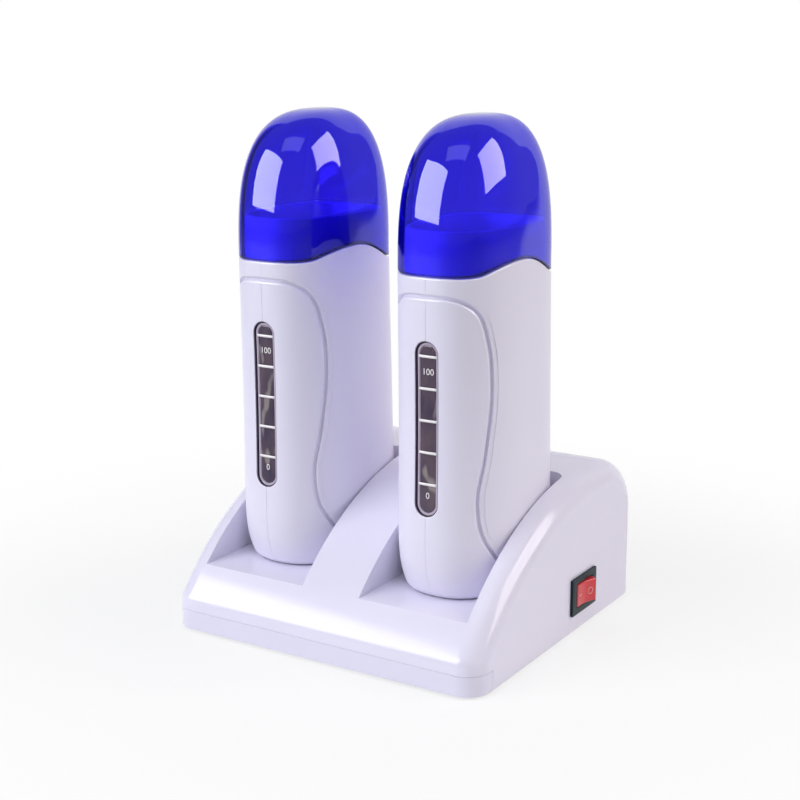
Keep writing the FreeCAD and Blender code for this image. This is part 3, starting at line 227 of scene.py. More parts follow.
def rgb(*levels):
    """Linear colour from the 0 to 255 levels of a screen colour."""
    c = np.array(levels) / 255.0
    return tuple(np.where(c <= 0.04045, c / 12.92, ((c + 0.055) / 1.055) ** 2.4).tolist())


print("white plastic on screen (236, 234, 248) is", [round(v, 3) for v in rgb(236, 234, 248)])

# %% [markdown]
# ## Moulded plastics
# Most of the heater is injection-moulded ABS. A polished mould leaves it glossy, but never
# perfectly even: the colour drifts by a percent or so, handling leaves faint marks that change
# the gloss, and the skin ripples by a few micrometres as it shrinks. Each of the three is a
# noise of its own size. A scratch texture would look worn, and the real one looks new.

# %% Plastic finishes
DRIFT_SIZE, GLOSS_SIZE, RIPPLE_SIZE, RIPPLE_DEPTH = 0.03, 0.015, 0.012, 0.00004


def moulded(name, colour, roughness, drift=0.03, grain=0.0, grain_size=0.0004, **constants):
    """Moulded plastic: colour drift, uneven gloss, a slow ripple and, if asked for, a fine grain."""
    finish = Finish(name, {"IOR": 1.5, **{k.replace("_", " "): v for k, v in constants.items()}})
    slow = finish.noise(DRIFT_SIZE, 3.0)
    marks = finish.noise(GLOSS_SIZE, 3.0)
    low = tuple(v * (1.0 - drift) for v in colour)
    high = tuple(min(v * (1.0 + drift), 1.0) for v in colour)
    finish.plug(finish.shader.inputs["Base Color"], finish.between(slow, low, high))
    finish.plug(finish.shader.inputs["Roughness"], marks * (roughness * 0.3) + roughness * 0.85)
    ripple = finish.noise(RIPPLE_SIZE, 1.0)
    if grain:
        fine = finish.noise(grain_size, 3.0)
        finish.bump(ripple * 0.3 + fine * grain, 0.5, RIPPLE_DEPTH)
    else:
        finish.bump(ripple, 0.25, RIPPLE_DEPTH)


WHITE = rgb(233, 230, 247)
moulded("base_plastic", WHITE, 0.13, 0.012, Specular_IOR_Level=0.25)
moulded("plate_plastic", rgb(228, 225, 243), 0.24, 0.012)
moulded("handset_plastic", WHITE, 0.34, 0.012)
moulded("handset_inner", rgb(222, 220, 232), 0.4, 0.02, grain=0.4)
moulded("collar_plastic", rgb(205, 203, 225), 0.35, 0.02, grain=0.3)
moulded("holder_plastic", rgb(60, 60, 64), 0.45, 0.08, grain=0.6)
moulded("switch_body", rgb(10, 36, 44), 0.42, 0.1, grain=0.4, Specular_IOR_Level=0.25)
moulded("rocker_red", rgb(213, 52, 60), 0.24, 0.03)
moulded("inlet_plastic", rgb(38, 38, 42), 0.36, 0.1, grain=0.6)
moulded("block_plastic", rgb(226, 222, 205), 0.38, 0.03, grain=0.3)
moulded("wire_sleeve", rgb(214, 212, 206), 0.4, 0.04)
moulded("thermostat", rgb(50, 50, 50), 0.5, 0.1, grain=0.6)
moulded("window", rgb(96, 84, 104), 0.12, 0.1)
moulded("feet_rubber", rgb(62, 62, 66), 0.75, 0.12, grain=1.0, grain_size=0.0006)
print(len(finishes), "plastics and rubbers")

# %% [markdown]
# ## Metals and felt
# The well is drawn aluminium, the contacts are brass and the screws are zinc-plated steel. Metal
# shows its making as fine lines, so a noise that is stretched along one axis drives the gloss.
# The felt round the well is fibre, which a coarse noise over a fine one stands for.

# %% Metal and felt finishes
TARNISH_SIZE, LINE_DEPTH = 0.006, 0.00002


def metal(name, colour, roughness, line_size=0.0003, stretch=(1.0, 1.0, 0.05)):
    """Drawn or turned metal: fine lines along one axis in its gloss and its surface."""
    finish = Finish(name, {"Metallic": 1.0})
    lines = finish.noise(line_size, 3.0, stretch)
    tarnish = finish.noise(TARNISH_SIZE, 3.0)
    finish.plug(finish.shader.inputs["Base Color"],
                finish.between(tarnish, tuple(v * 0.9 for v in colour), colour))
    finish.plug(finish.shader.inputs["Roughness"], lines * 0.12 + tarnish * 0.08 + roughness)
    finish.bump(lines, 0.3, LINE_DEPTH)


metal("steel", rgb(196, 197, 202), 0.22)
metal("brass", rgb(214, 182, 108), 0.18, stretch=(1.0, 1.0, 1.0))
metal("inlet_pins", rgb(214, 214, 216), 0.12, stretch=(1.0, 0.05, 1.0))
metal("well_aluminium", rgb(205, 206, 210), 0.26)
metal("heater", rgb(188, 189, 194), 0.3)

CLUMP_SIZE, FIBRE_SIZE, FELT_DEPTH = 0.003, 0.0005, 0.0003
felt = Finish("felt", {"Sheen Weight": 0.4})
clumps = felt.noise(CLUMP_SIZE, 3.0)
fibres = felt.noise(FIBRE_SIZE, 4.0, (1.0, 1.0, 3.0))
felt.plug(felt.shader.inputs["Base Color"], felt.between(clumps, rgb(190, 184, 170), rgb(222, 217, 205)))
felt.plug(felt.shader.inputs["Roughness"], fibres * 0.1 + 0.85)
felt.bump(clumps * 0.4 + fibres * 0.6, 0.8, FELT_DEPTH)
print(len(finishes), "finishes")

# %% [markdown]
# ## The clear blue caps
# A cap is clear plastic, dyed through, with a wall of 1.8 mm. The background seen through a cap
# has crossed two walls, but at its outline it has run along one wall for ten times as far, which
# is why a real cap has a dark blue edge. So half of the colour is a tint of the surface, and the
# other half is absorbed inside the wall, by its thickness. Along the rim the colour is painted
# darker: an attribute of the mesh, 1 at the rim, mixes it to dark navy there, a painted shade for
# the light that runs down the wall and out at its foot. A shader that bends light never lets lamps
# reach what stands inside, so for shadow rays alone the cap is a clear film round the same dyed
# wall, and the neck is lit as in a real thin cap.

# %% Cap finish
CAP_WALL = 1.8
CAP_TINT = np.array([0.42, 0.36, 0.93])
TWO_WALLS = np.array([0.026, 0.015, 0.68])
# Painted shade: the dark navy that the cap's colour turns to at its rim.
CAP_RIM_PAINTED_SHADE = (0.01, 0.004, 0.16)
FILM = 0.82 * np.sqrt(CAP_TINT)

absorbed = -np.log(TWO_WALLS / CAP_TINT ** 2) / (2 * CAP_WALL / 1000)
cap_finish = Finish("cap_plastic", {"Transmission Weight": 1.0, "IOR": 1.49})
swirl = cap_finish.noise(0.02, 2.0)
# The mesh's rim attribute masks the painted shade along the rim.
edge = Number(cap_finish, cap_finish.add("ShaderNodeAttribute", {"attribute_name": "rim"}).outputs["Fac"])
cap_finish.plug(cap_finish.shader.inputs["Base Color"],
                cap_finish.between(edge, CAP_TINT.tolist(), CAP_RIM_PAINTED_SHADE))
cap_finish.plug(cap_finish.shader.inputs["Roughness"], swirl * 0.02)
cap_finish.bump(swirl, 0.1, 0.00003)
film = cap_finish.add("ShaderNodeBsdfTransparent", None, {"Color": (*FILM.tolist(), 1.0)})
ray = cap_finish.add("ShaderNodeLightPath")
mixed = cap_finish.add("ShaderNodeMixShader", None,
                       {0: ray.outputs["Is Shadow Ray"], 1: cap_finish.shader.outputs[0],
                        2: film.outputs[0]})
strongest = float(absorbed.max())
dye = cap_finish.add("ShaderNodeVolumeAbsorption", None,
                     {"Color": (*(1.0 - absorbed / strongest).tolist(), 1.0), "Density": strongest})
cap_output = cap_finish.tree.nodes["Material Output"].inputs
cap_finish.plug(cap_output["Surface"], mixed.outputs[0])
cap_finish.plug(cap_output["Volume"], dye.outputs[0])
print("absorbed per mm:", (absorbed / 1000).round(3))

# %% [markdown]
# ## Dress the solid model
# Each piece of the solid model names its finish. The ones inside, such as the springs and the
# wires, keep their own mesh and only get the material; what shows from outside is made as a
# surface of its own below.

# %% Finishes on the solid model
slot_of = {}
for entry in frame["record"]["materials"]:
    for name in entry.get("nodes", []):
        slot_of[name] = entry["slot"]
for name, solid in nodes.items():
    slot = slot_of.get(name) or solid.material_slots[0].material.name.split(".")[0]
    slot_of[name] = slot
    for holder in solid.material_slots:
        holder.material = finishes[slot].material
print(sorted(set(slot_of.values())))

# %% [markdown]
# ## The form of a handset
# A handset is neither round nor square: its front is a rounded nose, its back is almost a flat
# with round corners. A superellipse has both in one formula, |x / half|^p + |y / reach|^p = 1:
# power 2.4 is the nose and 4.5 the back. The foot runs in, the waist is slightly hollow, and
# above the shoulder the outline shrinks by a superellipse again, which makes the dome.

# %% One formula for the whole form
HANDSETS = {"left": -36.5, "right": 36.5}
FOOT_Z, WIDEST_Y = 25.8, -13.0
HEEL, SHOULDER, TOP = 26.0, 122.2, 178.1
WIDEST, AHEAD, BEHIND = 22.9, 35.4, 33.3
NOSE_POWER, BACK_POWER, DOME_POWER = 2.4, 4.5, 2.9
HEEL_IN, TOE_IN, FOOT_ROUNDING = 2.0, 6.0, 2.2
WAIST_HEIGHT, WAIST_HOLLOW, BACK_SLOPE, DOME_SLIDE = 71.0, 0.7, 4.8, 6.0


def along_line(points):
    """Distance along a line of points, from its first."""
    return np.concatenate([[0.0], np.cumsum(np.linalg.norm(np.diff(points, axis=0), axis=1))])


def skin(turn, height, inset=0.0):
    """Point of a handset's form at an angle from its front, to the right, and a height above its foot.

    The outline's half width and its reach ahead and behind shrink by the inset. Above the
    shoulder the outline is scaled by (1 - share^2.9)^(1/2.9) and slides back by up to 6 mm.
    """
    turn, height, inset = np.broadcast_arrays(turn, height, inset)
    low = np.clip(height, 0.0, SHOULDER)
    heel = (np.maximum(HEEL - low, 0.0) / HEEL) ** DOME_POWER
    edge = np.maximum(FOOT_ROUNDING - low, 0.0) ** 2 / (2 * FOOT_ROUNDING) + inset
    waist = WAIST_HOLLOW * np.maximum(np.cos(np.pi * (low - WAIST_HEIGHT) / SHOULDER), 0.0) ** 2
    half = WIDEST - HEEL_IN * heel - edge
    ahead = AHEAD - waist - TOE_IN * heel - edge
    behind = BEHIND - BACK_SLOPE * low / SHOULDER - edge
    to_front = np.cos(turn) > 0
    power = np.where(to_front, NOSE_POWER, BACK_POWER)
    reach = np.where(to_front, ahead, behind)
    radius = (np.abs(np.sin(turn) / half) ** power + np.abs(np.cos(turn) / reach) ** power) ** (-1 / power)
    share = np.clip((height - SHOULDER) / (TOP - inset - SHOULDER), 0.0, 1.0)
    scale = (1.0 - share ** DOME_POWER) ** (1 / DOME_POWER)
    return np.stack([radius * np.sin(turn) * scale,
                     WIDEST_Y + DOME_SLIDE * (1.0 - scale) - radius * np.cos(turn) * scale,
                     FOOT_Z + height], -1)


ring_turns = np.linspace(0.0, np.pi, 4001)
ring = skin(ring_turns, WAIST_HEIGHT)
ring_arcs = along_line(ring)
HALF_ROUND = ring_arcs[-1]


def turn_at(arc):
    """Angle at a distance along the waist's outline from the front."""
    return np.interp(arc, ring_arcs, ring_turns)


def arc_at(depth):
    """Distance along the waist's outline to a depth behind the widest line."""
    return np.interp(depth, ring[:, 1] - WIDEST_Y, ring_arcs)


print("half the way round the waist:", round(HALF_ROUND, 1), "mm")

# %% [markdown]
# ## From grids to a piece
# Every new surface is a grid of points worked out as one array. A piece may take several grids
# that share their edges: they are collected here, their doubles are merged, and edges steeper
# than a given angle stay sharp while the rest is shaded smooth.

# %% Collecting grids
MERGE = 0.004
FLAT_UNDER, EDGE_OVER = 0.4, 38.0


def grid_quads(index):
    """Four corners for each face of a grid of point numbers."""
    return np.stack([index[:-1, :-1], index[:-1, 1:], index[1:, 1:], index[1:, :-1]], -1).reshape(-1, 4)


class Surface:
    """Grids of points, in millimetres, that become one mesh."""

    def __init__(self):
        self.points = []
        self.quads = []
        self.count = 0

    def grid(self, points, ring=False, turned=False):
        """Add a grid; faces look outwards where its columns run to the right and its rows up."""
        rows, columns = points.shape[:2]
        index = self.count + np.arange(rows * columns).reshape(rows, columns)
        if ring:
            index = np.concatenate([index, index[:, :1]], 1)
        quads = grid_quads(index)
        self.points.append(points.reshape(-1, 3))
        self.quads.append(quads[:, ::-1] if turned else quads)
        self.count += rows * columns
        return self

    def mesh(self, name, aside=0.0, mirror=False, sharp=32.0):
        """The grids as one mesh in the frame, mirrored if asked for, then moved to the right."""
        points = np.concatenate(self.points) * [-1.0 if mirror else 1.0, 1.0, 1.0] + [aside, 0.0, 0.0]
        quads = np.concatenate(self.quads)
        made = bpy.data.meshes.new(name)
        made.from_pydata(in_frame(points).tolist(), [], (quads[:, ::-1] if mirror else quads).tolist())
        return tidy_mesh(made, sharp)


def shaded(made, sharp):
    """Shade a mesh smooth, but for edges steeper than an angle in degrees."""
    made.polygons.foreach_set("use_smooth", [True] * len(made.polygons))
    made.set_sharp_from_angle(angle=math.radians(sharp))
    return made


def tidy_mesh(made, sharp):
    """Merge a mesh's doubles, drop faces without area and shade it smooth between sharp edges."""
    work = bmesh.new()
    work.from_mesh(made)
    bmesh.ops.remove_doubles(work, verts=work.verts, dist=MERGE / 1000)
    bmesh.ops.dissolve_degenerate(work, edges=work.edges, dist=MERGE / 2000)
    work.to_mesh(made)
    work.free()
    return shaded(made, sharp)


def piece(name, mesh, body, slot, *stands_for, wall=0.0, look=None):
    """A finished piece: its mesh, the body it rides on, its slot and the nodes it stands for.

    It wears its slot's finish, or the finish named by look.
    """
    thing = in_scene(name, mesh)
    mesh.materials.clear()
    mesh.materials.append(finishes[look or slot].material)
    if wall:
        solid = thing.modifiers.new("wall", "SOLIDIFY")
        solid.thickness = wall / 1000
        solid.offset = -1.0
    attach(thing, body)
    if stands_for:
        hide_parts(*stands_for)
    return thing


def eased(node, width, steps=3):
    """A copy of a piece of the base whose sharp edges are rounded; width is in millimetres."""
    copy = nodes[node].data.copy()
    work = bmesh.new()
    work.from_mesh(copy)
    bmesh.ops.remove_doubles(work, verts=work.verts, dist=2e-6)
    bmesh.ops.dissolve_limit(work, angle_limit=math.radians(FLAT_UNDER), verts=work.verts, edges=work.edges)
    work.to_mesh(copy)
    work.free()
    thing = piece(f"{node}_eased", shaded(copy, EDGE_OVER), "base", slot_of[node], node)
    rounding = thing.modifiers.new("rounding", "BEVEL")
    rounding.width = width / 1000
    rounding.segments = steps
    rounding.limit_method = "ANGLE"
    rounding.angle_limit = math.radians(EDGE_OVER)
    rounding.miter_outer = "MITER_ARC"
    rounding.use_clamp_overlap = True
    shading = thing.modifiers.new("shading", "WEIGHTED_NORMAL")
    shading.keep_sharp = False


def smooth_line(points, count=2000):
    """Cubic pieces through points; the direction at a point comes from its two neighbours."""
    points = np.asarray(points, float)
    chord = along_line(points)
    slope = np.gradient(points, chord, axis=0)
    at = np.linspace(0.0, chord[-1], count)
    k = np.clip(np.searchsorted(chord, at, side="right") - 1, 0, len(chord) - 2)
    span = (chord[k + 1] - chord[k])[:, None]
    t = (at - chord[k])[:, None] / span
    return ((1 + 2 * t) * (1 - t) ** 2 * points[k] + t * (1 - t) ** 2 * span * slope[k]
            + t * t * (3 - 2 * t) * points[k + 1] - t * t * (1 - t) * span * slope[k + 1])


# %% [markdown]
# ## The two halves of the shell
# The shell is moulded as a left and a right half that meet in a fine line down the front. A
# groove runs round the front panel, from one side of the nose over to the other. The skin is
# unrolled into distance round the waist and height, where the groove is a plain curve: the grid
# has patches inside it, a narrow band that rolls over both edges and dips 1.35 mm between them,
# and patches outside it. Each patch takes its columns from the one above, so the seams close. The
# groove is real geometry, whose round edges catch lines of light as they do on the real thing.

# %% Lines on the unrolled skin
GROOVE_LINE = [(-40.0, 115.5), (-34.0, 115.3), (-28.0, 111.3), (-22.5, 97.2), (-21.0, 80.0), (-23.4, 57.0),
               (-26.3, 37.5), (-24.2, 25.0), (-16.0, 13.5), (2.0, 0.0)]
CAP_LINE = [(-44.0, 0.5), (-37.0, 0.3), (-31.0, 0.0), (-26.0, 0.5), (-21.5, 1.9), (-16.0, 3.3), (-10.0, 4.2),
            (-4.0, 4.5), (2.0, 4.0), (8.0, 2.4), (14.0, -0.2), (19.0, -2.5), (25.0, -3.7), (32.0, -4.0),
            (40.0, -3.7)]
WINDOW_LOW, WINDOW_HIGH, WINDOW_HALF, WINDOW_EDGE = 33.1, 99.2, 4.9, 0.3
EASE, RIM, SHELL_WALL = 0.08, 0.8, 2.0
CORNER_HEIGHT = 113.2
PANEL_TOP, PANEL_LOW, PANEL_FOOT = 112.6, 28.0, 3.0
LEVEL_BELOW, LEVEL_OVER = 108.0, 10.0
WINDOW_END, SMOOTHING = 5.0, 81

cap_curve = smooth_line(CAP_LINE)


def cap_height(turn):
    """Height above the foot of the line between shell and cap."""
    depth = skin(turn, SHOULDER)[..., 1] - WIDEST_Y
    return SHOULDER + np.interp(depth, cap_curve[:, 0], cap_curve[:, 1])


def window_rounding(arc, height):
    """How far the skin sinks beside the window: a quarter circle of 0.3 mm round its outline."""
    beyond = np.maximum(WINDOW_LOW + WINDOW_HALF - height, height - WINDOW_HIGH + WINDOW_HALF)
    away = np.hypot(arc, np.maximum(beyond, 0.0)) - WINDOW_HALF
    left = np.clip(WINDOW_EDGE - away, 0.0, WINDOW_EDGE)
    return WINDOW_EDGE - np.sqrt(WINDOW_EDGE ** 2 - left ** 2)


def window_edge(height):
    """Half the width of the window's opening at a height: straight sides with round ends."""
    near_end = np.minimum(height - WINDOW_LOW, WINDOW_HIGH - height)
    drop = np.clip(WINDOW_HALF - near_end, 0.0, WINDOW_HALF)
    return np.where(near_end > 0, np.sqrt(WINDOW_HALF ** 2 - drop ** 2), 0.0)


side_view = smooth_line(GROOVE_LINE, 6000)
side_view = side_view[side_view[:, 0] > ring[0, 1] - WIDEST_Y + 0.001]
groove = np.stack([arc_at(side_view[:, 0]), side_view[:, 1]], -1)
groove[0] = (0.0, groove[1, 1])
groove = groove[groove[:, 1] >= 0.0]
groove_chord = along_line(groove)
corner_chord = np.interp(-CORNER_HEIGHT, -groove[:, 1], groove_chord)

from_end = WINDOW_END * (1.0 - np.cos(quarter_turn(11)))
past_end = np.array([0.1, 0.22, 0.38, 0.6])
wanted = np.concatenate([np.arange(PANEL_TOP, PANEL_LOW, -0.9), np.arange(PANEL_LOW, PANEL_FOOT, -0.8),
                         np.linspace(PANEL_FOOT, 0.0, 14), WINDOW_LOW + from_end, WINDOW_HIGH - from_end,
                         WINDOW_LOW - past_end, WINDOW_HIGH + past_end])
wanted = np.unique(wanted.round(3))[::-1]
wanted = wanted[np.concatenate([[True], np.diff(wanted) < -0.02])]
stations = np.concatenate([[0.0, EASE, 0.2, 0.35, 0.5, 0.68], np.linspace(0.9, corner_chord, 34),
                           np.interp(-wanted, -groove[:, 1], groove_chord)])
stations = np.unique(stations)
corner = int(np.argmin(np.abs(stations - corner_chord)))
line = np.stack([np.interp(stations, groove_chord, groove[:, axis]) for axis in (0, 1)], -1)
smooth = np.stack([np.convolve(np.pad(groove[:, axis], SMOOTHING // 2, "edge"),
                               np.full(SMOOTHING, 1 / SMOOTHING), "valid") for axis in (0, 1)], -1)
slope = np.stack([np.interp(stations, groove_chord, np.gradient(smooth[:, axis], groove_chord))
                  for axis in (0, 1)], -1)
slope /= np.linalg.norm(slope, axis=1, keepdims=True)
slope[:2] = (1.0, 0.0)
outwards = np.stack([-slope[:, 1], slope[:, 0]], -1)
level = np.clip((LEVEL_BELOW - line[:, 1]) / LEVEL_OVER, 0.0, 1.0)[:, None]
sideways = np.stack([1.0 / np.maximum(outwards[:, 0], 0.3), np.zeros(len(line))], -1)
outwards = outwards * (1.0 - level) + sideways * level
print(len(stations), "stations on the groove, corner at", line[corner].round(1))

# %% Patches of one half
BAND_START, BAND_END, PANEL_ROUND, FLANK_ROUND = -1.5, 1.25, 0.9, 0.5
EDGE_TURN = quarter_turn(10, 82.0)
PANEL_EDGE = [BAND_START + PANEL_ROUND * np.sin(EDGE_TURN), PANEL_ROUND * (1.0 - np.cos(EDGE_TURN))]
FLANK_EDGE = [BAND_END - FLANK_ROUND * np.sin(EDGE_TURN)[::-1],
              FLANK_ROUND * (1.0 - np.cos(EDGE_TURN))[::-1]]
BAND = np.concatenate([PANEL_EDGE[0], [-0.57, -0.45, 0.0, 0.5, 0.68, 0.72], FLANK_EDGE[0]])
BAND_DEPTH = np.concatenate([PANEL_EDGE[1], [1.15, 1.3, 1.35, 1.3, 1.15, 0.8], FLANK_EDGE[1]])


def unrolled(arc, height, inset=0.0):
    """Point of the skin at a distance round the waist and a height."""
    return skin(turn_at(arc), height, inset)


def run(start, end, steps):
    """Shares from 0 to 1 along each row, with a narrow last step for an eased edge."""
    share = np.linspace(0.0, 1.0, steps)[None, :] * np.ones((len(start), 1))
    length = np.maximum(end - start, 1e-6)[:, None]
    small = np.minimum(EASE / length, 0.5 / steps)
    return np.concatenate([share[:, :-1], 1.0 - small, share[:, -1:]], 1)


def half_shell():
    """The right half of a shell as grids: panel, groove, flank, and the strip up to the cap line."""
    shell = Surface()
    inner = line + outwards * BAND[0]
    inner[0, 0] = 0.0
    under = inner[:corner + 1]
    drop = np.linspace(0.0, 1.0, 5)[:, None]
    height = under[:, 1] + (under[corner, 1] - under[:, 1]) * drop
    inset = np.zeros_like(height)
    inset[:, 0] = EASE
    shell.grid(unrolled(under[:, 0] + drop * 0, height, inset), turned=True)

    rows = inner[corner:]
    start = window_edge(rows[:, 1])
    arc = start[:, None] + (rows[:, :1] - start[:, None]) * (under[:, 0] / under[corner, 0])[None, :]
    height = rows[:, 1:] + arc * 0
    inset = window_rounding(arc, height)
    inset[:, 0] = np.maximum(inset[:, 0], EASE)
    shell.grid(unrolled(arc, height, inset), turned=True)

    band = line[:, None] + outwards[:, None] * BAND[None, :, None]
    band[0, :, 0] = 0.0
    dip = BAND_DEPTH[None, :] + np.where(np.arange(len(line)) == 0, EASE, 0.0)[:, None]
    shell.grid(unrolled(band[..., 0], band[..., 1], dip), turned=True)

    outer = line + outwards * BAND[-1]
    outer[0, 0] = 0.0
    flank = outer[corner:]
    back = np.full(len(flank), HALF_ROUND)
    share = run(flank[:, 0], back, 74)
    arc = flank[:, :1] + (back[:, None] - flank[:, :1]) * share
    inset = np.zeros_like(arc)
    inset[:, -1] = EASE
    shell.grid(unrolled(arc, flank[:, 1:] + arc * 0, inset), turned=True)

    along = np.concatenate([outer[:corner, 0], arc[0]])
    bottom = np.concatenate([outer[:corner, 1], np.full(arc.shape[1], outer[corner, 1])])
    top = cap_height(turn_at(along))
    rise = np.concatenate([np.linspace(0.0, 1.0, 14), np.ones(6)])[:, None]
    turn = np.radians(np.concatenate([np.zeros(14), [15.0, 30.0, 45.0, 60.0, 75.0, 90.0]]))[:, None]
    inset = RIM * (1.0 - np.cos(turn)) + 0.0 * along
    inset[:, 0] += EASE
    inset[:, -1] += EASE
    shell.grid(unrolled(along + rise * 0, bottom + (top - bottom - RIM) * rise + RIM * np.sin(turn), inset))
    return shell


shell_surface = half_shell()
for side, x in HANDSETS.items():
    for half, mirror in (("left", True), ("right", False)):
        node = f"{side}_handset_{half}_shell"
        piece(f"{node}_skin", shell_surface.mesh(node, x, mirror), f"{side}_handset",
              "handset_plastic", node, wall=SHELL_WALL)
print("half shell:", sum(len(q) for q in shell_surface.quads), "faces")

# %% [markdown]
# ## The level window
# A long window shows how much wax is left. It is clear plastic over the dark inside, let about
# 1 mm into the shell, with a dark lining round it that paints the shade in the gap between shell
# and pane, a sloping rim whose lighter grey is partly a painted highlight of its clear edge, and
# five white marks. The pane sits 0.35 mm off the slot's middle, so the painted shade is wider on
# one side. The pane is worked out as a slot-shaped outline that shrinks to its middle line; the
# marks are thin strips of real thickness. Plain numbers stand for full and empty.

# %% Window rim and pane
SLOT_MIDDLE = (WINDOW_LOW + WINDOW_HIGH) / 2
SLOT_HALF = WINDOW_HALF - 0.1
SLOT_STRAIGHT = (WINDOW_HIGH - WINDOW_LOW) / 2 - WINDOW_HALF
SLOT_BOTTOM, PANE_DEPTH, PANE_WALL, OFF = 1.9, 0.95, 0.9, 0.35


def slot_rings(rows):
    """Rings of a slot with round ends, on the handset's skin: rows of (drawn in by, depth, aside)."""
    half_turn = np.radians(np.linspace(-90.0, 90.0, 25))
    side = np.linspace(1.0, -1.0, 30)[1:-1]
    across = np.concatenate([np.sin(half_turn), np.ones(28), -np.sin(half_turn), -np.ones(28)])
    upward = np.concatenate([np.cos(half_turn), np.zeros(28), -np.cos(half_turn), np.zeros(28)])
    middle = np.concatenate([np.ones(25), side, -np.ones(25), -side]) * SLOT_STRAIGHT
    drawn = np.array([row[0] for row in rows])[:, None]
    depth = np.array([row[1] for row in rows])[:, None]
    x = across * (SLOT_HALF - drawn) + np.array([row[2] for row in rows])[:, None]
    turn = np.sign(x) * turn_at(np.abs(x))
    return skin(turn, SLOT_MIDDLE + middle + upward * (SLOT_HALF - drawn), depth)


# The rim is a real sloping edge; its lighter grey is partly a painted highlight, for the light that the
# pane's clear edge catches.
moulded("window_rim", rgb(186, 174, 196), 0.12, 0.06)
# The lining's dark colour is painted shade, for the gap between the shell and the pane.
moulded("window_seal", rgb(74, 62, 82), 0.4, 0.06)
pane = finishes["window"]
smoke = pane.noise(0.011, 2.0, (1.0, 1.0, 0.6))
streak = pane.noise(0.003, 3.0, (1.0, 1.0, 0.35))
tint = pane.between(smoke * 1.6 + streak * 0.4 - 0.5, rgb(50, 44, 72), rgb(108, 88, 96))
smear = pane.noise(0.006, 1.0, (1.0, 1.0, 0.45))
wax = pane.smooth_step(smear, 0.6, 0.68, high=0.55)
lighter = pane.add("ShaderNodeMix", {"data_type": "RGBA"},
                   {"Factor": wax, "A": tint, "B": (*rgb(170, 164, 158), 1.0)})
pane.plug(pane.shader.inputs["Base Color"], lighter.outputs["Result"])
moulded("window_mark", rgb(240, 236, 238), 0.4, 0.02)

# These rows line the slot's wall with the dark piece of painted shade.
painted_shade_lining_rows = [(0.0, SLOT_BOTTOM, 0.0), (0.0, 0.5, 0.0), (0.08, 0.5, 0.0), (0.1, 1.2, 0.0), (1.2, 1.2, OFF),
             (1.2, SLOT_BOTTOM, OFF), (0.0, SLOT_BOTTOM, 0.0)]
rim_slot_rows = [(0.5, SLOT_BOTTOM, OFF), (0.5, 0.7, OFF), (0.58, 0.62, OFF), (1.1, 0.62, OFF),
                 (1.4, PANE_DEPTH, OFF), (1.4, SLOT_BOTTOM, OFF), (0.5, SLOT_BOTTOM, OFF)]
glass_rows = [(drawn, PANE_DEPTH, OFF) for drawn in (1.4, 2.0, 3.0, 4.0, SLOT_HALF)]
seal, rim, glass = (Surface().grid(slot_rings(rows), ring=True, turned=True)
                    for rows in (painted_shade_lining_rows, rim_slot_rows, glass_rows))
for side, x in HANDSETS.items():
    name = f"{side}_handset_level_window"
    piece(f"{name}_pane", glass.mesh(name, x), f"{side}_handset", "window", name, wall=PANE_WALL)
    for part, surface in (("rim", rim), ("seal", seal)):
        mesh = surface.mesh(f"{name}_{part}", x)
        piece(f"{name}_{part}", mesh, f"{side}_handset", "window", look=f"window_{part}")
print("window", round(2 * SLOT_HALF, 1), "by", round(WINDOW_HIGH - WINDOW_LOW - 0.2, 1), "mm")

# %% Marks and numbers
MARK_HEIGHTS = np.array([93.5, 81.5, 69.5, 57.5, 45.5])
MARK_HALF_LENGTH, MARK_HALF_HEIGHT, MARK_DEPTH = 3.8, 0.5, 0.58
NUMBERS = (("100", 87.7), ("0", 41.0))
NUMBER_SIZE, NUMBER_DEPTH, PRINT = 3.4, 0.9, 0.04


def on_pane(x, height, depth):
    """Points on the window's pane from flat places across it and up it."""
    x = x + OFF
    return skin(np.sign(x) * turn_at(np.abs(x)), height, depth)


def corners(mesh):
    """The places of a mesh's corners, one to a row."""
    places = np.empty(len(mesh.vertices) * 3)
    mesh.vertices.foreach_get("co", places)
    return places.reshape(-1, 3)


def flat_text(words, size, middle):
    """Points and faces of a line of text, in millimetres, centred on a height."""
    curve = bpy.data.curves.new(words, "FONT")
    curve.body = words
    curve.size = size
    curve.align_x = "CENTER"
    curve.align_y = "CENTER"
    holder = in_scene(words, curve)
    flat = bpy.data.meshes.new_from_object(holder.evaluated_get(bpy.context.evaluated_depsgraph_get()))
    bpy.data.objects.remove(holder)
    points = corners(flat)[:, :2]
    faces = [tuple(f.vertices) for f in flat.polygons]
    bpy.data.meshes.remove(flat)
    return points + [0.0, middle], faces


marks = Surface()
for height in MARK_HEIGHTS:
    across, up = np.meshgrid(np.linspace(-MARK_HALF_LENGTH, MARK_HALF_LENGTH, 13),
                             [height - MARK_HALF_HEIGHT, height + MARK_HALF_HEIGHT])
    marks.grid(on_pane(across, up, MARK_DEPTH))
for side, x in HANDSETS.items():
    printed = [marks.mesh(f"{side}_handset_window_marks", x)]
    for words, height in NUMBERS:
        flat, faces = flat_text(words, NUMBER_SIZE, height)
        mesh = bpy.data.meshes.new(f"{side}_handset_window_number_{words}")
        places = on_pane(flat[:, 0], flat[:, 1], NUMBER_DEPTH) + [x, 0.0, 0.0]
        mesh.from_pydata(in_frame(places).tolist(), [], faces)
        printed.append(mesh)
    for mesh in printed:
        piece(mesh.name, mesh, f"{side}_handset", "window", wall=PRINT, look="window_mark")
print(len(MARK_HEIGHTS), "marks, 12 mm apart")

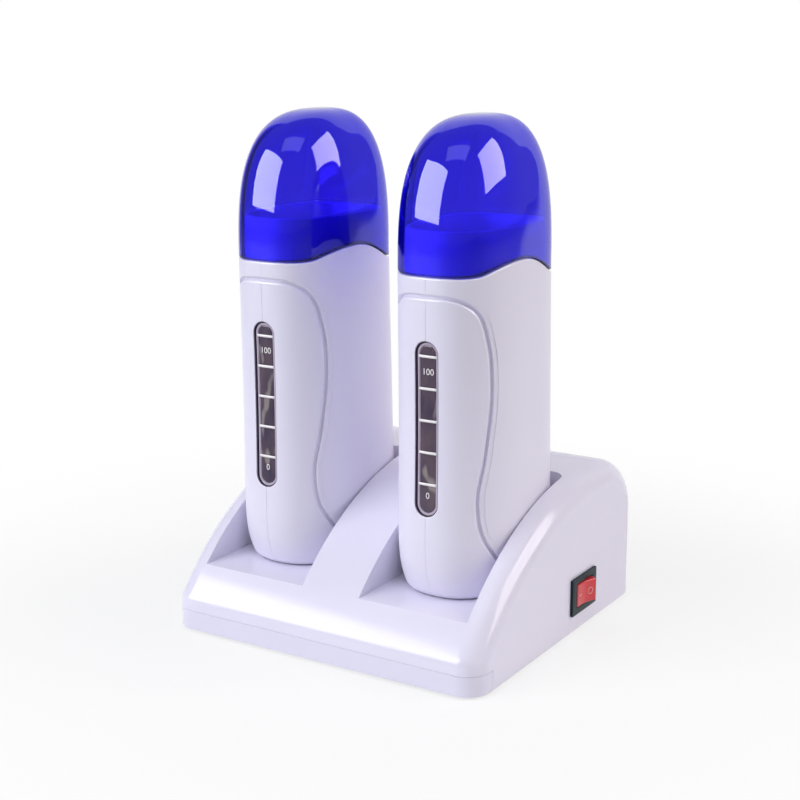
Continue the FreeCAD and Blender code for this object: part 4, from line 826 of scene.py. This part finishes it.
# %% [markdown]
# ## Collar and cap
# Inside the cap stands a collar, which closes the shell round the mouth of the heating well. It
# is a ring whose outside is the handset's own form, drawn in, and whose mouth is a slot. The cap
# is one closed skin: down its inner wall, round its rim and up its outer wall to the pole, so
# that light refracts in a real wall. The rim's edge shows dark partly from that and partly from
# a painted shade along the rim.

# %% Collar
MOUTH_HALF, MOUTH_LENGTH, MOUTH_Y = 16.0, 26.5, -18.1
COLLAR_LOW, COLLAR_HIGH, COLLAR_IN = 114.2, 139.0, 2.15


def mouth(turn, height, grow=0.0):
    """Point on the well's slot-shaped mouth: straight sides with semicircular ends."""
    half = MOUTH_HALF + grow
    straight = MOUTH_LENGTH - MOUTH_HALF
    s, c = np.abs(np.sin(turn)), np.abs(np.cos(turn))
    to_side = half / np.maximum(s, 1e-9)
    to_end = straight * c + np.sqrt(np.maximum(half ** 2 - (straight * s) ** 2, 0.0))
    radius = np.where(to_side * c <= straight, to_side, to_end)
    return np.stack([radius * np.sin(turn), MOUTH_Y - radius * np.cos(turn), FOOT_Z + height + 0 * turn], -1)


around = np.linspace(0.0, 2 * np.pi, 168, endpoint=False)
collar_outside = ((COLLAR_LOW, 0.0), (124.0, 0.0), (132.0, 0.0), (137.9, 0.0), (138.5, 0.15), (138.9, 0.6),
                  (COLLAR_HIGH, 1.1))
collar_mouth = ((COLLAR_HIGH, 0.7), (138.85, 0.25), (138.4, 0.0), (130.0, 0.0), (COLLAR_LOW, 0.0))
collar_rows = [skin(around, height, COLLAR_IN + more) for height, more in collar_outside]
collar_rows += [mouth(around, height, grow) for height, grow in collar_mouth]
collar_rows.append(collar_rows[0])
collar = Surface().grid(np.stack(collar_rows), ring=True)

# %% Cap
# RIM_PAINTED_SHADE_FADE is the height over which the painted shade at the rim fades out.
CAP_GAP, CAP_STRAIGHT, RIM_PAINTED_SHADE_FADE = 0.35, 7.8, 0.5
cap_foot = cap_height(around) + CAP_GAP
climb = np.concatenate([[0.0, 0.05, 0.1], np.linspace(0.18, 1.0, 8)[:-1]])[:, None]
sweep = np.linspace(0.0575, np.pi / 2, 46)[:, None]


def cap_wall_rows(inset, lift):
    """Heights up one wall of the cap: level steps to 7.8 mm above the shoulder, then round the dome."""
    start = cap_foot[None, :] + lift
    straight = start + (SHOULDER + CAP_STRAIGHT - start) * climb
    dome = SHOULDER + (TOP - inset - SHOULDER) * np.sin(sweep) ** (2 / DOME_POWER) + 0 * around[None, :]
    return skin(around[None, :], np.concatenate([straight, dome]), inset)


rim_rows = np.stack([skin(around, cap_foot + height, inset)
                     for height, inset in ((0.1, 1.7), (0.0, 1.5), (0.0, 0.35), (0.07, 0.1))])
cap = Surface().grid(np.concatenate([cap_wall_rows(CAP_WALL, 0.4)[::-1], rim_rows, cap_wall_rows(0.0, 0.3)]),
                     ring=True)
for side, x in HANDSETS.items():
    name = f"{side}_handset_neck_collar"
    piece(f"{name}_ring", collar.mesh(name, x), f"{side}_handset", "collar_plastic", name)
    dome = cap.mesh(f"{side}_cap", x)
    places = (corners(dome) - BASE_MIDDLE) * 1000 - [x, WIDEST_Y, 0.0]
    above = (places[:, 2] - FOOT_Z - SHOULDER - np.interp(places[:, 1], cap_curve[:, 0], cap_curve[:, 1])
             - CAP_GAP)
    # The rim attribute is painted shade: 1 at the cap's rim, fading out above it.
    rim_painted_shade = np.clip(1.0 - (above - CAP_GAP) / RIM_PAINTED_SHADE_FADE, 0.0, 1.0)
    dome.attributes.new("rim", "FLOAT", "POINT").data.foreach_set("value", rim_painted_shade)
    piece(f"{side}_cap_dome", dome, f"{side}_cap", "cap_plastic", f"{side}_cap")
print("cap:", sum(len(q) for q in cap.quads), "faces")

# %% [markdown]
# ## The base
# The base is a moulded housing on a bottom plate, with a snap-in rocker switch in its right side
# and a mains inlet in its back. Their forms are all in the solid model, but a moulded edge is
# never razor sharp: it is rounded by the mould, and catches a thin line of light. The pieces are
# copied, their doubles are merged, and a bevel rounds each edge by the width that such a
# part has: most on the housing, and less than half of that on the small switch.

# %% Eased edges
eased("base_top_housing", 0.8)
eased("base_bottom_plate", 0.35, steps=2)
eased("switch_housing", 0.35)
eased("inlet_socket", 0.4)
eased("base_feet", 0.5)
print("5 pieces eased")

# %% [markdown]
# ## The springs under the contact pins
# A contact pin goes down by 0.8 mm at most, and its spring gets shorter with it: each spring is
# copied and stays on the base, at the length it is drawn.

# %% Springs copied onto the base
for side in HANDSETS:
    for place in ("outer", "inner"):
        node = f"{side}_{place}_contact_spring"
        coil = piece(f"{node}_coil", nodes[node].data.copy(), "base", slot_of[node], node)
        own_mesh(coil)

# %% [markdown]
# ## The rocker
# A rocker is a short see-saw: its face is a shallow hollow between two raised ends, so that a
# finger feels which end is down. The hollow is a hyperbola, which is nearly straight at its ends
# and round in the middle. The outline is carried across the rocker and drawn in near both sides,
# by a quarter circle, so its long edges are round as well. A bar and a ring, the common
# marks for on and off, lie on the face as thin pieces of their own.

# %% Rocker
PIVOT = np.array([68.0, 17.2, 15.6])
REACH, CROWN, DIP, UNDER, HALF_TALL = 7.45, 4.6, 3.8, -2.4, 4.6
TILT = math.radians(10.0)
FACE_END = math.sqrt(REACH ** 2 - CROWN ** 2)
HOLLOW, ROCKER_ROUND, MARK_LIFT = 0.4, 0.45, 0.04


def face(t):
    """How far the rocker's face stands outwards: a hyperbola through the dip and both crowns."""
    share = np.abs(t) / FACE_END
    end = math.sqrt(1.0 + HOLLOW ** 2) - HOLLOW
    return DIP + (CROWN - DIP) * (np.sqrt(share ** 2 + HOLLOW ** 2) - HOLLOW) / end


def on_rocker(t, outwards, up):
    """Points in the drawing from places along, out of and up the rocker, tilted about its pivot."""
    t, outwards, up = np.broadcast_arrays(t, outwards, up)
    return PIVOT + np.stack([outwards * math.cos(TILT) + t * math.sin(TILT),
                             t * math.cos(TILT) - outwards * math.sin(TILT), up], -1)


flat_face = np.linspace(-FACE_END, FACE_END, 41)
crown_angle, under_angle = math.asin(CROWN / REACH), math.asin(UNDER / REACH)
end_angle = np.linspace(crown_angle, under_angle, 14)[1:]
far_end = np.stack([REACH * np.cos(end_angle), REACH * np.sin(end_angle)], -1)
outline = np.concatenate([np.stack([flat_face, face(flat_face)], -1), far_end, far_end[::-1] * [-1.0, 1.0]])
ahead = np.roll(outline, -1, axis=0) - np.roll(outline, 1, axis=0)
inwards = np.stack([ahead[:, 1], -ahead[:, 0]], -1) / np.linalg.norm(ahead, axis=1, keepdims=True)
quarter = quarter_turn(6)
drawn = ROCKER_ROUND * (1.0 - np.cos(quarter))
lower = ROCKER_ROUND * (1.0 - np.sin(quarter))
rounded = [(outline + inwards * inset, HALF_TALL - down) for inset, down in zip(drawn, lower)]
closing = (outline * 0.0 + [0.0, 0.5], HALF_TALL)
rows = [(points, -up) for points, up in [closing, *rounded[::-1]]] + [*rounded, closing]
rocker = Surface().grid(np.stack([on_rocker(*points.T, up) for points, up in rows]), ring=True)
rocker_mesh = rocker.mesh("switch_rocker_body", sharp=50.0)
piece("switch_rocker_body", rocker_mesh, "rocker", "rocker_red", "switch_rocker")

moulded("rocker_mark", rgb(236, 160, 160), 0.45, 0.02)
turns = np.linspace(0.0, 2 * np.pi, 40, endpoint=False)[None, :]
radius = np.array([1.15, 1.48])[:, None]
ring_t = 3.0 + radius * np.cos(turns)
off_mark = Surface().grid(on_rocker(ring_t, face(ring_t) + MARK_LIFT, radius * np.sin(turns)), ring=True)
bar_t, bar_up = np.meshgrid(np.linspace(-4.9, -2.2, 8), [-0.2, 0.2])
on_mark = Surface().grid(on_rocker(bar_t, face(bar_t) + MARK_LIFT, bar_up))
for name, surface in (("switch_off_mark", off_mark), ("switch_on_mark", on_mark)):
    piece(name, surface.mesh(name), "rocker", "rocker_red", wall=MARK_LIFT, look="rocker_mark")

# %% [markdown]
# ## The lip round the rocker
# A raised lip frames the rocker's opening in the side of the base, and a quarter circle leads
# from its face into the opening. Each of its rings is a rectangle with round corners.

# %% Lip
LIP = (9.6, 6.6, 0.8)
OPENING_ALONG, OPENING_UP, OPENING_CORNER = 6.85, 5.0, 0.5
LIP_ROOT, LIP_BODY, LIP_FACE, LIP_EDGE = 66.0, 70.6, 71.23, 0.4


def lip_ring(along, up, corner_radius, outwards):
    """A rectangle with round corners on the side of the base, round the rocker's opening."""
    ring_points = []
    for quarter_number, (sign_t, sign_u) in enumerate(((1, 1), (-1, 1), (-1, -1), (1, -1))):
        turn = quarter_turn(7)[:-1] + quarter_number * math.pi / 2
        ring_points.append(np.stack([sign_t * (along - corner_radius) + corner_radius * np.cos(turn),
                                     sign_u * (up - corner_radius) + corner_radius * np.sin(turn)], -1))
    flat = np.concatenate(ring_points)
    return np.stack([np.full(len(flat), outwards), PIVOT[1] + flat[:, 0], PIVOT[2] + flat[:, 1]], -1)


lip_rows = [lip_ring(*LIP, LIP_BODY), lip_ring(*LIP, LIP_FACE)]
for turn in quarter_turn(6):
    wider = LIP_EDGE * (1.0 - math.sin(turn))
    lip_rows.append(lip_ring(OPENING_ALONG + wider, OPENING_UP + wider, OPENING_CORNER,
                             LIP_FACE - LIP_EDGE * (1.0 - math.cos(turn))))
lip_rows += [lip_ring(OPENING_ALONG, OPENING_UP, OPENING_CORNER, LIP_ROOT), lip_ring(*LIP, LIP_ROOT),
             lip_ring(*LIP, LIP_BODY)]
lip = Surface().grid(np.stack(lip_rows), ring=True, turned=True)
piece("switch_lip", lip.mesh("switch_lip", sharp=50.0), "base", "switch_body")
print("rocker face", round(2 * FACE_END, 1), "by", 2 * HALF_TALL, "mm")

# %% [markdown]
# ## A paper sweep
# The heater stands on a sheet of white paper that runs flat under it and rises behind it in one
# bend, so that no horizon shows. The camera sees the sheet, and the room beyond it, as plain
# white further off, and mostly so close by, where the lit paper still keeps the soft shadow of
# the base. For mirrors and glass the sheet dims towards the front and the sides, as in a dark
# room: a glossy deep blue thing shows the room more than its own colour, so a white room would
# wash the caps out.

# %% Sweep
BEND_START, BEND_RADIUS, SHEET_HALF, SHEET_TOP = 1.0, 0.6, 2.4, 2.6
UNLIT_PAPER, LIT_PAPER = (0.42, 0.42, 0.44), (0.9, 0.9, 0.9)
AWAY = (-math.sin(AZIMUTH), math.cos(AZIMUTH), 0.0)
ASIDE = (math.cos(AZIMUTH), math.sin(AZIMUTH), 0.0)


def white_paper():
    """Lit paper that the camera sees as white, and that mirrors and glass see so behind the heater."""
    finish = Finish("white_paper", {"Roughness": 0.9, "Specular IOR Level": 0.1})

    def along(direction):
        return Number(finish, finish.add("ShaderNodeVectorMath", {"operation": "DOT_PRODUCT"},
                                         {0: finish.place, 1: direction}).outputs["Value"])

    step = finish.smooth_step
    behind, aside = along(AWAY), along(ASIDE)
    to_right = aside * aside.over(0.0)
    to_left = to_right - aside
    lit = (step(behind, -0.5, -0.2) * step(behind + 0.3 - to_right * 0.8, -0.3, 0.0)
           * step(behind + 0.5 - to_left * 2.2, -0.3, 0.0))
    away = finish.add("ShaderNodeVectorMath", {"operation": "LENGTH"}, {0: finish.place}).outputs["Value"]
    finish.plug(finish.shader.inputs["Base Color"], finish.between(lit, UNLIT_PAPER, LIT_PAPER))
    glow = finish.add("ShaderNodeEmission", None, {"Color": (1.0, 1.0, 1.0, 1.0), "Strength": 1.0})
    ray = finish.add("ShaderNodeLightPath")
    seen = [Number(finish, ray.outputs[f"Is {kind} Ray"]) for kind in ("Camera", "Glossy", "Transmission")]
    share = step(seen[0] + (seen[1] + seen[2]) * lit, 0.0, 1.0) * step(away, 0.09, 0.3, 0.7)
    mixed = finish.add("ShaderNodeMixShader", None,
                       {0: share, 1: finish.shader.outputs[0], 2: glow.outputs[0]})
    finish.plug(finish.tree.nodes["Material Output"].inputs["Surface"], mixed.outputs[0])
    return finish.material


bend = quarter_turn(25)
run_out = np.concatenate([np.linspace(-SHEET_HALF, 0.0, 13), BEND_START + BEND_RADIUS * np.sin(bend),
                          [BEND_START + BEND_RADIUS]])
rise = np.concatenate([np.zeros(13), BEND_RADIUS - BEND_RADIUS * np.cos(bend), [SHEET_TOP]])
sides = np.linspace(-SHEET_HALF, SHEET_HALF, 25)
ground = run_out[:, None, None] * np.array(AWAY) + sides[None, :, None] * np.array(ASIDE)
ground[..., 2] = rise[:, None]
index = np.arange(ground.shape[0] * ground.shape[1]).reshape(ground.shape[:2])
sweep_mesh = bpy.data.meshes.new("sweep")
sweep_mesh.from_pydata(ground.reshape(-1, 3).tolist(), [], grid_quads(index).tolist())
sweep_mesh.polygons.foreach_set("use_smooth", [True] * len(sweep_mesh.polygons))
sweep_mesh.materials.append(white_paper())
in_scene("sweep", sweep_mesh)
print("sheet of", round(float(np.ptp(sides)), 1), "by", round(float(np.ptp(run_out) + np.ptp(rise)), 1), "m")

# %% [markdown]
# ## Lamps
# Two tall softboxes stand at the front left and at the right, and a weak one hangs above. Each
# is placed by two angles, round the heater and above the table, because that is what decides
# where a rounded glossy thing mirrors it. The lamp that lights and the bright panel that is
# mirrored are two lamps at one place: a polished cap mirrors only a twentieth of a lamp, and a
# lamp bright enough to show there would burn the white shells out. The room round them is dim,
# but the camera sees it as white.

# %% Lamps and world
TARGET = Vector((0.0, 0.0, 0.14))
ROOM_DIM, ROOM_BRIGHT = 0.28, 1.0


def softbox(name, turn, lift, distance, wide, tall, strength, colour, mirrored=False):
    """A rectangular lamp that faces the caps; turn is from the front to the right, in degrees.

    Wide and tall are the angles that it fills, and strength is its radiance.
    """
    turn, lift = math.radians(turn), math.radians(lift)
    place = TARGET + distance * Vector((math.sin(turn) * math.cos(lift), -math.cos(turn) * math.cos(lift),
                                        math.sin(lift)))
    lamp = bpy.data.lights.new(name, "AREA")
    lamp.shape = "RECTANGLE"
    lamp.size = 2.0 * distance * math.tan(math.radians(wide) / 2)
    lamp.size_y = 2.0 * distance * math.tan(math.radians(tall) / 2)
    lamp.energy = strength * lamp.size * lamp.size_y * math.pi
    lamp.color = colour
    holder = in_scene(name, lamp)
    holder.location = place
    holder.rotation_mode = "QUATERNION"
    holder.rotation_quaternion = (TARGET - place).to_track_quat("-Z", "Y")
    holder.visible_glossy = mirrored
    holder.visible_diffuse = not mirrored
    print(name, round(lamp.size, 2), "by", round(lamp.size_y, 2), "m")


COOL, WARM = (0.93, 0.945, 1.0), (1.0, 0.925, 0.9)
softbox("left_softbox", -35.0, 26.0, 1.3, 40.0, 42.0, 3.7, COOL)
softbox("right_softbox", 115.0, 33.0, 1.4, 36.0, 40.0, 3.1, WARM)
softbox("top_softbox", 20.0, 72.0, 1.5, 34.0, 30.0, 2.0, COOL)
softbox("left_panel", -31.0, 24.0, 3.0, 46.0, 40.0, 11.0, COOL, mirrored=True)
softbox("right_panel", 112.0, 30.0, 3.0, 36.0, 36.0, 8.5, WARM, mirrored=True)
softbox("top_panel", 15.0, 66.0, 3.0, 44.0, 22.0, 1.3, COOL, mirrored=True)

world = bpy.data.worlds.new("studio")
bpy.context.scene.world = world
world.use_nodes = True
room = world.node_tree
dim = room.nodes["Background"]
bright = room.nodes.new("ShaderNodeBackground")
either = room.nodes.new("ShaderNodeMixShader")
ray = room.nodes.new("ShaderNodeLightPath")
for background, strength in ((dim, ROOM_DIM), (bright, ROOM_BRIGHT)):
    background.inputs["Color"].default_value = (1.0, 1.0, 1.0, 1.0)
    background.inputs["Strength"].default_value = strength
room.links.new(ray.outputs["Is Camera Ray"], either.inputs[0])
room.links.new(dim.outputs[0], either.inputs[1])
room.links.new(bright.outputs[0], either.inputs[2])
room.links.new(either.outputs[0], room.nodes["World Output"].inputs["Surface"])
bpy.context.scene.view_settings.view_transform = "Standard"
